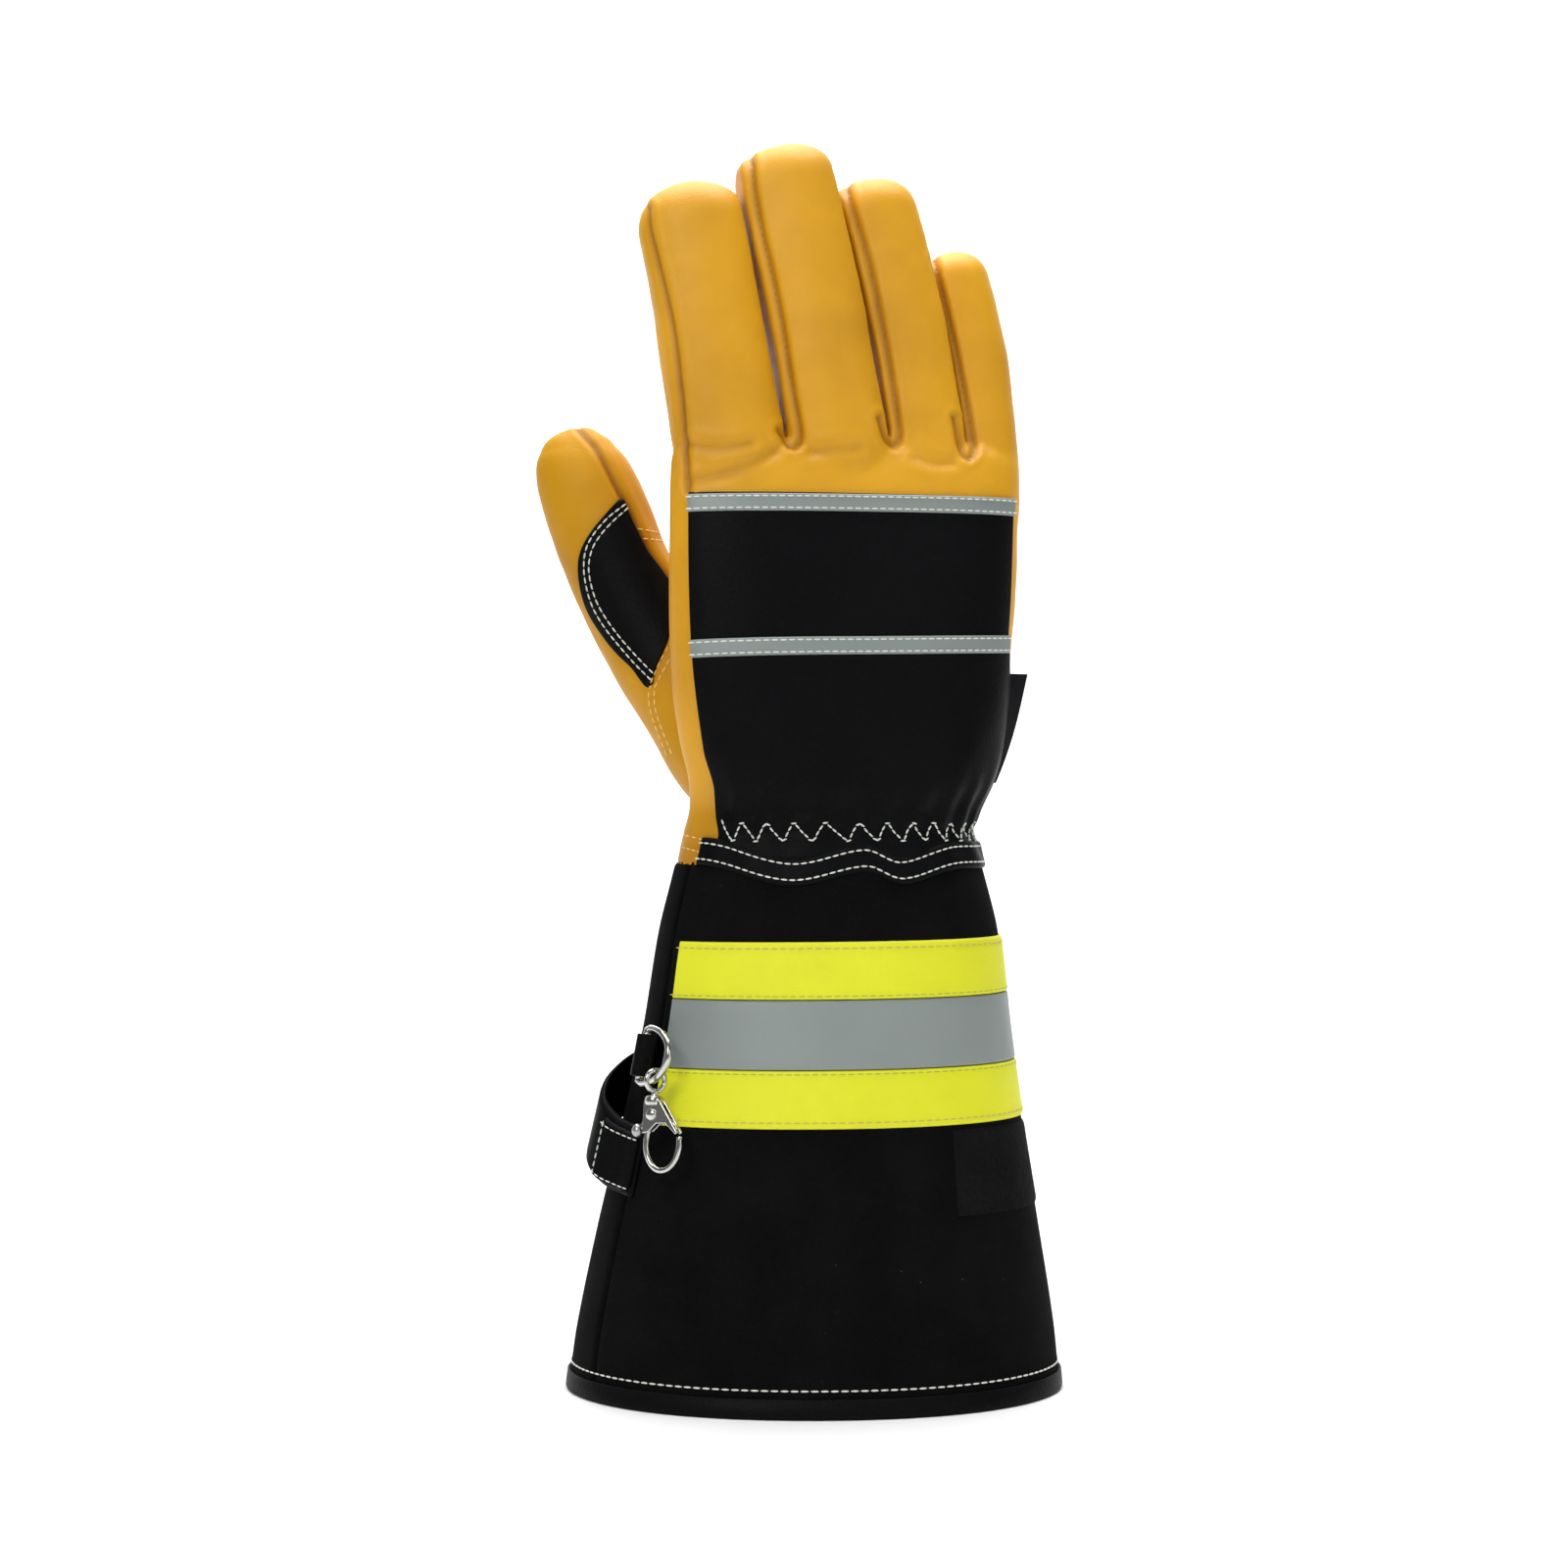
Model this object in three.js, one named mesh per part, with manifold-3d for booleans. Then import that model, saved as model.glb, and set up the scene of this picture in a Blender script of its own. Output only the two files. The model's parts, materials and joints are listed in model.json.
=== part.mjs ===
// A right-hand firefighter glove with a long flared gauntlet, in millimetres.
// It stands on its hem: +X is the little-finger side, -X the thumb side,
// -Y the back of the hand, +Y the palm and +Z points from the hem to the fingertips.
import * as THREE from 'three';
import { mergeVertices } from 'three/addons/utils/BufferGeometryUtils.js';
import Module from 'manifold-3d';

// Gauntlet
const cuffHeight = 176; // from the hem to the narrowest line of the wrist
const hemWidth = 154;
const hemDepth = 114;
const suedeWall = 2;

// Hand
const handRise = 121; // from the wrist line to the top of the palm
const handWidth = 110;
const handDepth = 50;
const handTurn = 12; // degrees that the little-finger side lies further back
const leatherWall = 3; // leather with its padding
const gatherDepth = 1.3;
const gatherCount = 8;

// Fingers and thumb
const fingerLength = 95; // the middle finger above the palm
const fingerWidth = 33;
const fingerDepth = 29;
const thumbWidth = 34;
const thumbReach = 129; // the thumb's tip above the wrist line
const fingerClearance = 0.6;

// Layers sewn on the outside
const tapeThickness = 1.1;
const tapeLow = 0.483 * cuffHeight; // lower edge of the hi-vis band above the hem
const yellowTapeHeight = 17.6;
const silverTapeHeight = 21.2;
const stripHeight = 5.6;
const patchThickness = 1.4;
const bandThickness = 1.4;
const wristBandHeight = 13;
const loopPadHeight = 26;
const bindingThickness = 1.3;
const bindingHeight = 6;
const labelHeight = 34;
const labelWidth = 9;
const labelThickness = 1.2;
const seamGap = 0.3; // sewn pieces stop this short of each other
const sliver = 0.01; // points closer than this along a cut are one

// D-ring, its tab and the snap hook
const ringWire = 2.3;
const ringHeight = 17;
const ringReach = 15;
const tabHeight = 13;
const tabLeather = 1.4;
const barStand = 8; // the bar's middle off the cuff
const eyeWire = 1.6;
const eyeWidth = 8;
const hookWire = 1.9;
const hookLoopWidth = 13.7;
const hookLoopHeight = 18.3;
const hookThickness = 3.6;
const gateThickness = 1.2;
const rivetDiameter = 1.6;
const rivetHeadDiameter = 3.8;
const hookTurn = 30; // degrees that the hook is turned from the XZ plane
const hookLean = 7; // degrees that the hook leans out with the cuff

// Adjuster strap
const strapWidth = 21;
const strapThickness = 1.8;
const strapStandOff = 7.8;

const wasm = await Module();
wasm.setup();

const degrees = Math.PI / 180;

// Solids

function solidOf(geometry) {
  const bare = geometry.clone();
  bare.deleteAttribute('normal');
  bare.deleteAttribute('uv');
  const merged = mergeVertices(bare, 1e-4);
  return new wasm.Manifold(new wasm.Mesh({
    numProp: 3,
    vertProperties: new Float32Array(merged.attributes.position.array),
    triVerts: new Uint32Array(merged.index.array),
  }));
}

function geometryOf(solid) {
  const mesh = solid.getMesh();
  const geometry = new THREE.BufferGeometry();
  geometry.setAttribute('position', new THREE.BufferAttribute(new Float32Array(mesh.vertProperties), 3));
  geometry.setIndex(new THREE.BufferAttribute(new Uint32Array(mesh.triVerts), 1));
  geometry.computeVertexNormals();
  return geometry;
}

// The largest body of a cut solid, without the crumbs and slivers that a cut may leave.
function mainBody(solid) {
  return solid.decompose().sort((a, b) => b.volume() - a.volume())[0].simplify(sliver);
}

function unionOf(solids) {
  return solids.reduce((whole, solid) => whole.add(solid));
}

function closedGeometry(points, faces) {
  let volume = 0;
  for (let i = 0; i < faces.length; i += 3) {
    const [a, b, c] = [points[faces[i]], points[faces[i + 1]], points[faces[i + 2]]];
    volume += a.dot(new THREE.Vector3().crossVectors(b, c));
  }
  const outward = volume > 0 ? faces : faces.toReversed();
  const geometry = new THREE.BufferGeometry().setFromPoints(points);
  geometry.setIndex(outward);
  geometry.computeVertexNormals();
  return geometry;
}

// A skin over rings of equally many points, capped at both ends or joined end to end.
function loft(rings, joined = false) {
  const count = rings[0].length;
  const points = rings.flat();
  const faces = [];
  const bands = joined ? rings.length : rings.length - 1;
  for (let band = 0; band < bands; band += 1) {
    const low = band * count;
    const high = ((band + 1) % rings.length) * count;
    for (let k = 0; k < count; k += 1) {
      const next = (k + 1) % count;
      faces.push(low + k, low + next, high + next, low + k, high + next, high + k);
    }
  }
  if (!joined) {
    for (const [start, first] of [[0, true], [(rings.length - 1) * count, false]]) {
      const middle = new THREE.Vector3();
      for (let k = 0; k < count; k += 1) middle.addScaledVector(points[start + k], 1 / count);
      points.push(middle);
      for (let k = 0; k < count; k += 1) {
        const pair = [start + k, start + ((k + 1) % count)];
        faces.push(points.length - 1, ...(first ? pair.toReversed() : pair));
      }
    }
  }
  return closedGeometry(points, faces);
}

// A curved plate: pointAt(across, along, layer) gives its points, each from 0 to 1.
function plate(pointAt, across, along) {
  const points = [];
  const faces = [];
  const row = across + 1;
  const layerSize = row * (along + 1);
  for (const layer of [0, 1]) {
    for (let j = 0; j <= along; j += 1) {
      for (let i = 0; i <= across; i += 1) points.push(pointAt(i / across, j / along, layer));
    }
  }
  const quad = (a, b, c, d) => faces.push(a, b, c, a, c, d);
  for (let j = 0; j < along; j += 1) {
    for (let i = 0; i < across; i += 1) {
      const a = j * row + i;
      quad(layerSize + a, layerSize + a + 1, layerSize + a + row + 1, layerSize + a + row);
      quad(a + row, a + row + 1, a + 1, a);
    }
  }
  for (let i = 0; i < across; i += 1) {
    const top = along * row + i;
    quad(i, i + 1, layerSize + i + 1, layerSize + i);
    quad(layerSize + top, layerSize + top + 1, top + 1, top);
  }
  for (let j = 0; j < along; j += 1) {
    const left = j * row;
    const right = left + across;
    quad(left + row, left, layerSize + left, layerSize + left + row);
    quad(right, right + row, layerSize + right + row, layerSize + right);
  }
  return closedGeometry(points, faces);
}

// Tables are read between their rows on a smooth curve.
function rowValue(rows, key, up) {
  const last = rows.length - 1;
  let i = 0;
  while (i < last - 1 && up > rows[i + 1].up) i += 1;
  const slope = (k) => {
    const a = rows[Math.max(k - 1, 0)];
    const b = rows[Math.min(k + 1, last)];
    return (b[key] - a[key]) / (b.up - a.up);
  };
  const span = rows[i + 1].up - rows[i].up;
  const t = Math.min(Math.max((up - rows[i].up) / span, 0), 1);
  const rise = t * t * (3 - 2 * t);
  return rows[i][key] * (1 - rise) + rows[i + 1][key] * rise
    + span * (t * (1 - t) * (1 - t) * slope(i) - t * t * (1 - t) * slope(i + 1));
}

function power(value, exponent) {
  return Math.sign(value) * Math.abs(value) ** exponent;
}

// The body tube from the hem to the top of the palm.
// up is a share of handRise, left, right and deep of handWidth, handWidth and handDepth,
// turn of handTurn, gather of gatherDepth, and round is the section's exponent.
const handRows = [
  { up: 0, left: 0.369, right: 0.452, deep: 0.54, turn: 0.35, gather: 0.5, round: 2.2 },
  { up: 0.05, left: 0.35, right: 0.47, deep: 0.53, turn: 0.45, gather: 1, round: 2.2 },
  { up: 0.12, left: 0.352, right: 0.508, deep: 0.545, turn: 0.6, gather: 0.9, round: 2.3 },
  { up: 0.24, left: 0.385, right: 0.542, deep: 0.52, turn: 0.8, gather: 0.35, round: 2.4 },
  { up: 0.37, left: 0.403, right: 0.561, deep: 0.505, turn: 0.95, gather: 0, round: 2.5 },
  { up: 0.56, left: 0.411, right: 0.581, deep: 0.48, turn: 1, gather: 0, round: 2.5 },
  { up: 0.78, left: 0.413, right: 0.591, deep: 0.42, turn: 1, gather: 0, round: 2.5 },
  { up: 0.9, left: 0.411, right: 0.594, deep: 0.355, turn: 1, gather: 0, round: 2.5 },
  { up: 0.97, left: 0.403, right: 0.586, deep: 0.28, turn: 1, gather: 0, round: 2.6 },
  { up: 1, left: 0.385, right: 0.566, deep: 0.2, turn: 1, gather: 0, round: 2.6 },
];
// up is a share of cuffHeight, left, right and deep are shares of the flare from wrist to hem.
const cuffRows = [
  { up: 0, left: 1, right: 1, deep: 1, turn: 0, gather: 0, round: 2 },
  { up: 0.11, left: 0.932, right: 0.934, deep: 0.93, turn: 0, gather: 0, round: 2 },
  { up: 0.29, left: 0.756, right: 0.761, deep: 0.76, turn: 0.02, gather: 0, round: 2 },
  { up: 0.46, left: 0.561, right: 0.592, deep: 0.58, turn: 0.06, gather: 0, round: 2.05 },
  { up: 0.64, left: 0.368, right: 0.43, deep: 0.4, turn: 0.12, gather: 0, round: 2.1 },
  { up: 0.815, left: 0.229, right: 0.305, deep: 0.25, turn: 0.2, gather: 0, round: 2.15 },
  { up: 0.905, left: 0.122, right: 0.169, deep: 0.13, turn: 0.26, gather: 0.1, round: 2.2 },
  { up: 1, left: 0, right: 0, deep: 0, turn: 0.35, gather: 0.5, round: 2.2 },
];
const handTop = cuffHeight + handRise;

function bodySection(height) {
  const onHand = height > cuffHeight;
  const rows = onHand ? handRows : cuffRows;
  const up = onHand ? (height - cuffHeight) / handRise : height / cuffHeight;
  const read = (key) => rowValue(rows, key, up);
  const wrist = handRows[0];
  const flare = (from, to, key) => from + (to - from) * read(key);
  return {
    left: onHand ? handWidth * read('left') : flare(handWidth * wrist.left, hemWidth / 2, 'left'),
    right: onHand ? handWidth * read('right') : flare(handWidth * wrist.right, hemWidth / 2, 'right'),
    deep: onHand ? handDepth * read('deep') : flare(handDepth * wrist.deep, hemDepth / 2, 'deep'),
    shear: Math.tan(handTurn * degrees) * read('turn'),
    gather: gatherDepth * read('gather'),
    round: read('round'),
  };
}

// A point at an angle round the body, 0 at +X and 270 at the back of the hand, moved out by `out`.
function bodyPoint(angle, height, out = 0, gathered = 1) {
  const section = bodySection(height);
  const [cos, sin] = [Math.cos(angle * degrees), Math.sin(angle * degrees)];
  const halfWidth = (section.right + section.left) / 2;
  const along = 2 / section.round;
  const x = halfWidth * power(cos, along);
  const y = section.deep * power(sin, along);
  const normal = new THREE.Vector2(power(cos, 2 - along) / halfWidth, power(sin, 2 - along) / section.deep);
  normal.normalize().multiplyScalar(out + gathered * section.gather * Math.sin(gatherCount * angle * degrees));
  return new THREE.Vector3(
    (section.right - section.left) / 2 + x + normal.x,
    section.shear * x + y + normal.y,
    height,
  );
}

// The angle at which the front of the body has a given x.
function frontAngle(x, height) {
  const section = bodySection(height);
  const halfWidth = (section.right + section.left) / 2;
  const share = (x - (section.right - section.left) / 2) / halfWidth;
  return 360 - Math.acos(power(Math.min(Math.max(share, -1), 1), section.round / 2)) / degrees;
}

function bodyLoft(heights, out, sides, gathered = 1) {
  return solidOf(loft(heights.map((height) => (
    Array.from({ length: sides }, (_, k) => bodyPoint((360 * k) / sides, height, out, gathered))
  ))));
}

// Fingers, index first. root, knuckle and tip are shares of handWidth across, reach of
// fingerLength, wide of fingerWidth, deep of fingerDepth, back and curl of handDepth,
// and crotch, the seam on the little-finger side of each, of handRise.
const fingerRows = [
  { name: 'index', root: -0.205, knuckle: -0.265, tip: -0.377, reach: 0.865, wide: 1.04, deep: 1, back: -0.15, curl: 0.1, crotch: 0.979 },
  { name: 'middle', root: 0.12, knuckle: 0.045, tip: -0.113, reach: 1, wide: 0.985, deep: 1.02, back: -0.03, curl: 0.12, crotch: 0.979 },
  { name: 'ring', root: 0.335, knuckle: 0.284, tip: 0.14, reach: 0.905, wide: 0.86, deep: 0.96, back: 0.15, curl: 0.12, crotch: 0.956 },
  { name: 'little', root: 0.478, knuckle: 0.477, tip: 0.39, reach: 0.675, wide: 0.73, deep: 0.86, back: 0.35, curl: 0.08 },
];
const rootHeight = handTop - 0.29 * handRise;
const knuckleHeight = handTop + 0.13 * fingerLength;

function acrossHand(x, height) {
  const section = bodySection(height);
  return section.shear * (x - (section.right - section.left) / 2);
}

for (const finger of fingerRows) {
  const rootX = finger.root * handWidth;
  const knuckleX = finger.knuckle * handWidth;
  finger.width = finger.wide * fingerWidth;
  finger.depth = finger.deep * fingerDepth;
  finger.axis = new THREE.CatmullRomCurve3([
    new THREE.Vector3(rootX, acrossHand(rootX, rootHeight), rootHeight),
    new THREE.Vector3(knuckleX, finger.back * handDepth, knuckleHeight),
    new THREE.Vector3(finger.tip * handWidth, (finger.back + finger.curl) * handDepth, handTop + finger.reach * fingerLength),
  ]);
}

// A ring square to an axis that lies nearly in the XZ plane.
function axisFrame(axis, share) {
  const centre = axis.getPointAt(share);
  const tangent = axis.getTangentAt(share);
  const across = new THREE.Vector3(0, 1, 0).cross(tangent).normalize();
  const depth = new THREE.Vector3().crossVectors(tangent, across).normalize();
  return { centre, across, depth };
}

function ovalRing({ centre, across, depth }, halfWidth, halfDepth, sides, round = 2.25) {
  return Array.from({ length: sides }, (_, k) => {
    const angle = (2 * Math.PI * k) / sides;
    return centre.clone()
      .addScaledVector(across, halfWidth * power(Math.cos(angle), 2 / round))
      .addScaledVector(depth, halfDepth * power(Math.sin(angle), 2 / round));
  });
}

// Stations of a finger: along is a share of the straight part, dome of the round tip.
const shaftStations = [
  { along: 0, swell: 0.9 }, { along: 0.22, swell: 1.04 }, { along: 0.6, swell: 1 }, { along: 1, swell: 0.97 },
];
const domeStations = [0.45, 0.78, 0.95, 1];

function fingerTube(finger, inset, sides) {
  const length = finger.axis.getLength() - inset;
  const dome = (0.46 * finger.width) - inset / 2;
  const [halfWidth, halfDepth] = [finger.width / 2 - inset, finger.depth / 2 - inset];
  const rings = shaftStations.map(({ along, swell }) => (
    ovalRing(axisFrame(finger.axis, (along * (length - dome)) / finger.axis.getLength()),
      halfWidth * Math.min(swell, 1), halfDepth * swell, sides)
  ));
  const end = shaftStations.at(-1).swell;
  for (const t of domeStations) {
    const narrowing = end * Math.max(Math.sqrt(1 - t * t), 0.1);
    rings.push(ovalRing(axisFrame(finger.axis, (length - dome + t * dome) / finger.axis.getLength()),
      halfWidth * narrowing, halfDepth * narrowing, sides));
  }
  return solidOf(loft(rings));
}

function axisPointAtHeight(axis, height) {
  const [low, high] = [axis.getPoint(0), axis.getPoint(1)];
  let [a, b] = [0, 1];
  if (height <= low.z) return low;
  if (height >= high.z) return high.clone().addScaledVector(axis.getTangent(1), (height - high.z) / axis.getTangent(1).z);
  for (let i = 0; i < 24; i += 1) {
    const middle = (a + b) / 2;
    if (axis.getPoint(middle).z < height) a = middle;
    else b = middle;
  }
  return axis.getPoint((a + b) / 2);
}

// Where the slit between two fingers lies at a height, and its directions across and into the
// depth, which are the same from crotch to tip.
function slitLine(finger, neighbour, height) {
  const centre = (one, level) => axisPointAtHeight(one.axis, level).clone().setZ(level);
  const across = centre(neighbour, knuckleHeight).sub(centre(finger, knuckleHeight)).normalize();
  const middle = centre(finger, height).lerp(centre(neighbour, height), finger.width / (finger.width + neighbour.width));
  return { middle, across, deep: new THREE.Vector3(-across.y, across.x, 0) };
}

const fingerSpaceTop = handTop + 1.15 * fingerLength;

// The slit between two neighbouring fingers from its crotch up past the tips, which reaches
// from one distance to another across it. drop starts it lower than the crotch.
function slitBetween([finger, neighbour], from, to, drop) {
  const foot = cuffHeight + finger.crotch * handRise - drop;
  const rings = [0, 0.33, 0.67, 1].map((t) => {
    const { middle, across, deep } = slitLine(finger, neighbour, foot + t * (fingerSpaceTop - foot));
    return [[to, 1], [from, 1], [from, -1], [to, -1]].map(([side, front]) => (
      middle.clone().addScaledVector(across, side).addScaledVector(deep, front * handDepth)
    ));
  });
  return solidOf(loft(rings));
}

// A finger's tube, which ends at the slits to its neighbours above the crotches.
const pairs = fingerRows.slice(0, -1).map((finger, i) => [finger, fingerRows[i + 1]]);
function fingerBetweenSlits(index, inset, sides) {
  const [edge, far] = [fingerClearance / 6 + inset, 2 * fingerWidth];
  let tube = fingerTube(fingerRows[index], inset, sides);
  if (index > 0) tube = tube.subtract(slitBetween(pairs[index - 1], -far, edge, inset));
  if (pairs[index]) tube = tube.subtract(slitBetween(pairs[index], -edge, far, inset));
  return tube;
}

// Seams along a finger run at these shares of its half depth, on its thumb side and other side.
const backSeam = { left: -0.7, middle: -0.42, right: -0.15 };
const palmSeam = { left: 0.15, middle: 0.4, right: 0.65 };
const sideReach = 2.5; // the zones of the outer fingers reach this far past them

// The space round a finger from one side line to another (left, middle or right) and between
// two of its seams, grown by a gap. Towards a neighbour it ends inside the slit.
function fingerZone(index, from, lowSeam, highSeam, [leftSide, rightSide], grow) {
  const finger = fingerRows[index];
  const half = finger.depth / 2;
  const far = 3 * half;
  const rings = [0, 0.5, 1].map((t) => {
    const height = from + t * (fingerSpaceTop - from);
    const centre = axisPointAtHeight(finger.axis, height).clone().setZ(height);
    const neighbour = { left: fingerRows[index - 1], right: fingerRows[index + 1] };
    const line = (side, outward) => {
      const straight = { across: new THREE.Vector3(1, 0, 0), deep: new THREE.Vector3(0, 1, 0) };
      let [found, shift] = [{ middle: centre.clone(), ...straight }, outward * grow];
      if (side !== 'middle' && neighbour[side]) {
        found = side === 'left' ? slitLine(neighbour.left, finger, height) : slitLine(finger, neighbour.right, height);
        shift = outward * (fingerClearance / 4 + 0.4 * grow);
      } else if (side !== 'middle') shift += outward * (finger.width / 2 + sideReach);
      return { start: found.middle.addScaledVector(found.across, shift), deep: found.deep };
    };
    const corner = ({ start, deep }, level) => start.clone().addScaledVector(deep, (level - start.y) / deep.y);
    const level = (seam, side, fallback, outward) => (
      centre.y + (seam ? half * seam[side] + outward * grow : fallback)
    );
    const [left, right] = [line(leftSide, -1), line(rightSide, 1)];
    return [
      corner(left, level(lowSeam, leftSide, -far, -1)), corner(right, level(lowSeam, rightSide, -far, -1)),
      corner(right, level(highSeam, rightSide, far, 1)), corner(left, level(highSeam, leftSide, far, 1)),
    ];
  });
  return solidOf(loft(rings));
}

// Thumb: x is a share of handWidth, y of handDepth, up of thumbReach, wide and deep of thumbWidth.
const thumbRows = [
  { x: -0.218, y: 0.08, up: 0.08, wide: 0.7, deep: 0.82 },
  { x: -0.28, y: 0.18, up: 0.17, wide: 0.87, deep: 0.97 },
  { x: -0.35, y: 0.28, up: 0.28, wide: 0.91, deep: 1.03 },
  { x: -0.459, y: 0.4, up: 0.453, wide: 0.99, deep: 1.03 },
  { x: -0.552, y: 0.46, up: 0.612, wide: 1, deep: 1.01 },
  { x: -0.628, y: 0.48, up: 0.769, wide: 0.99, deep: 0.97 },
  { x: -0.683, y: 0.485, up: 0.89, wide: 0.88, deep: 0.86 },
  { x: -0.7, y: 0.49, up: 0.95, wide: 0.7, deep: 0.66 },
  { x: -0.708, y: 0.495, up: 0.985, wide: 0.45, deep: 0.42 },
  { x: -0.712, y: 0.5, up: 1, wide: 0.16, deep: 0.14 },
];

function thumbFrame(row) {
  const i = Math.min(Math.max(Math.floor(row), 0), thumbRows.length - 2);
  const at = (k) => {
    const source = thumbRows[k];
    return new THREE.Vector3(source.x * handWidth, source.y * handDepth, cuffHeight + source.up * thumbReach);
  };
  const mix = (key) => THREE.MathUtils.lerp(thumbRows[i][key], thumbRows[i + 1][key], row - i);
  const tangentAt = (k) => at(Math.min(k + 1, thumbRows.length - 1)).sub(at(Math.max(k - 1, 0))).normalize();
  const tangent = tangentAt(i).lerp(tangentAt(i + 1), row - i).normalize();
  const across = new THREE.Vector3(0, 1, 0).cross(tangent).normalize();
  const depth = new THREE.Vector3().crossVectors(tangent, across).normalize();
  return {
    centre: at(i).lerp(at(i + 1), row - i), across, depth,
    halfWidth: (thumbWidth * mix('wide')) / 2, halfDepth: (thumbWidth * mix('deep')) / 2,
  };
}

function thumbTube(inset, sides) {
  const kept = thumbRows.map((row, k) => k).filter((k) => k === 0 || thumbRows[k].wide * thumbWidth > 4 * inset);
  return solidOf(loft(kept.map((k) => {
    const frame = thumbFrame(k);
    const half = [frame.halfWidth - inset, frame.halfDepth - inset];
    if (inset && k === 0) frame.centre.z -= 0.08 * thumbReach;
    return ovalRing(frame, ...half, sides, 2.1);
  })));
}

// A point on the thumb: angle 0 faces the back of the hand and grows towards the hand.
function thumbPoint(angle, row, out) {
  const frame = thumbFrame(row);
  const [sin, cos] = [Math.sin(angle * degrees), Math.cos(angle * degrees)];
  return frame.centre.clone()
    .addScaledVector(frame.across, (frame.halfWidth + out) * power(sin, 2 / 2.1))
    .addScaledVector(frame.depth, -(frame.halfDepth + out) * power(cos, 2 / 2.1));
}

// The hand's whole wall: body, fingers and slits, with the hollow taken out.
const sewnHeight = cuffHeight - 0.055 * cuffHeight; // where the hand's leather meets the suede
const handHeights = [sewnHeight, ...handRows.map((row) => cuffHeight + row.up * handRise)];
const hollowHeights = [
  sewnHeight - 4 * leatherWall,
  ...handRows.slice(1, -2).map((row) => cuffHeight + row.up * handRise),
  handTop - 2.8 * leatherWall,
];
const bodySides = 4 * gatherCount;
const bodyOutside = bodyLoft(handHeights, 0, bodySides);
const bodyInside = bodyLoft(hollowHeights, -leatherWall, 24, 0);
const fingersOutside = unionOf(fingerRows.map((finger, i) => fingerBetweenSlits(i, 0, 14)));
const fingersInside = unionOf(fingerRows.map((finger, i) => fingerBetweenSlits(i, leatherWall, 8)));
const slits = unionOf(pairs.map((pair) => slitBetween(pair, -fingerClearance / 2, fingerClearance / 2, 0)));
const handOutside = bodyOutside.add(fingersOutside).subtract(slits);
const handInside = bodyInside.add(fingersInside);
const thumbOutside = thumbTube(0, 16);
const thumbInside = thumbTube(leatherWall, 10);
const handWall = handOutside.subtract(handInside).subtract(thumbInside);

// The thumb is a tube of its own, sewn to the palm where it meets it.
const thumbShell = mainBody(
  thumbOutside.subtract(thumbInside).subtract(bodyLoft(handHeights, seamGap, bodySides)).subtract(bodyInside),
);

// Seams of the back: shares of handWidth, up a share of handRise.
const panelSeamRows = [
  { up: -0.1, x: -0.277 },
  { up: 0.1, x: -0.28 },
  { up: 0.2, x: -0.312 },
  { up: 0.5, x: -0.347 },
  { up: 1, x: -0.356 },
];
const sideStrip = 2.4; // palm leather that shows beside the panel on the little-finger side
const panelTop = cuffHeight + 0.863 * handRise;

function panelEdges(height) {
  const up = (height - cuffHeight) / handRise;
  return { left: handWidth * rowValue(panelSeamRows, 'x', up), right: bodySection(height).right - sideStrip };
}

// The space in front of the hand between the two seams of its back.
function frontZone(from, to, grow) {
  const steps = 4;
  const rings = Array.from({ length: steps + 1 }, (_, k) => {
    const height = from + ((to - from) * k) / steps;
    const edges = panelEdges(Math.min(height, handTop));
    const corner = (x, y) => new THREE.Vector3(x, y, height);
    const [left, right] = [edges.left - grow, edges.right + grow];
    return [
      corner(left, -2 * handDepth), corner(right, -2 * handDepth),
      corner(right, acrossHand(right, Math.min(height, handTop)) + grow),
      corner(left, acrossHand(left, Math.min(height, handTop)) + grow),
    ];
  });
  return solidOf(loft(rings));
}

const zoneFloor = panelTop + 0.03 * handRise;
const backZone = (grow) => unionOf([
  frontZone(panelTop + seamGap / 2 - grow, zoneFloor + 0.02 * handRise, grow),
  ...fingerRows.map((finger, i) => fingerZone(i, zoneFloor, null, backSeam, ['left', 'right'], grow)),
]);
const panelZone = (grow) => frontZone(sewnHeight - 5, panelTop - seamGap / 2 + grow, grow);
const forkZone = (index, grow) => {
  const from = cuffHeight + fingerRows[index].crotch * handRise - 2 * leatherWall - grow;
  return fingerZone(index, from, backSeam, palmSeam, ['middle', 'right'], grow)
    .add(fingerZone(index + 1, from, backSeam, palmSeam, ['left', 'middle'], grow));
};

const backPanel = mainBody(handWall.intersect(panelZone(0)));
const fingerBacks = mainBody(handWall.intersect(backZone(0)));
const fourchettes = pairs.map((pair, i) => (
  mainBody(handWall.intersect(forkZone(i, -seamGap / 2)).subtract(backZone(seamGap)))
));
const palmShell = mainBody(
  handWall.subtract(panelZone(seamGap)).subtract(backZone(seamGap))
    .subtract(unionOf(pairs.map((pair, i) => forkZone(i, seamGap / 2)))),
);

// Layers that follow the body: left and right are angles, low and high are heights.
function bodyLayer(left, right, low, high, thickness, across, along, rise = 0) {
  return plate((u, v, layer) => {
    const height = low + v * (high - low) + rise * u;
    return bodyPoint(left + u * (right - left), height, seamGap + layer * thickness);
  }, across, along);
}

function panelStrip(middle, rise) {
  return plate((u, v, layer) => {
    const height = middle + (v - 0.5) * stripHeight + rise * (u - 0.5);
    const edges = panelEdges(height);
    const left = frontAngle(edges.left + 1, height);
    const right = frontAngle(edges.right - 1, height);
    return bodyPoint(left + u * (right - left), height, seamGap + layer * tapeThickness);
  }, 20, 1);
}

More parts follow.
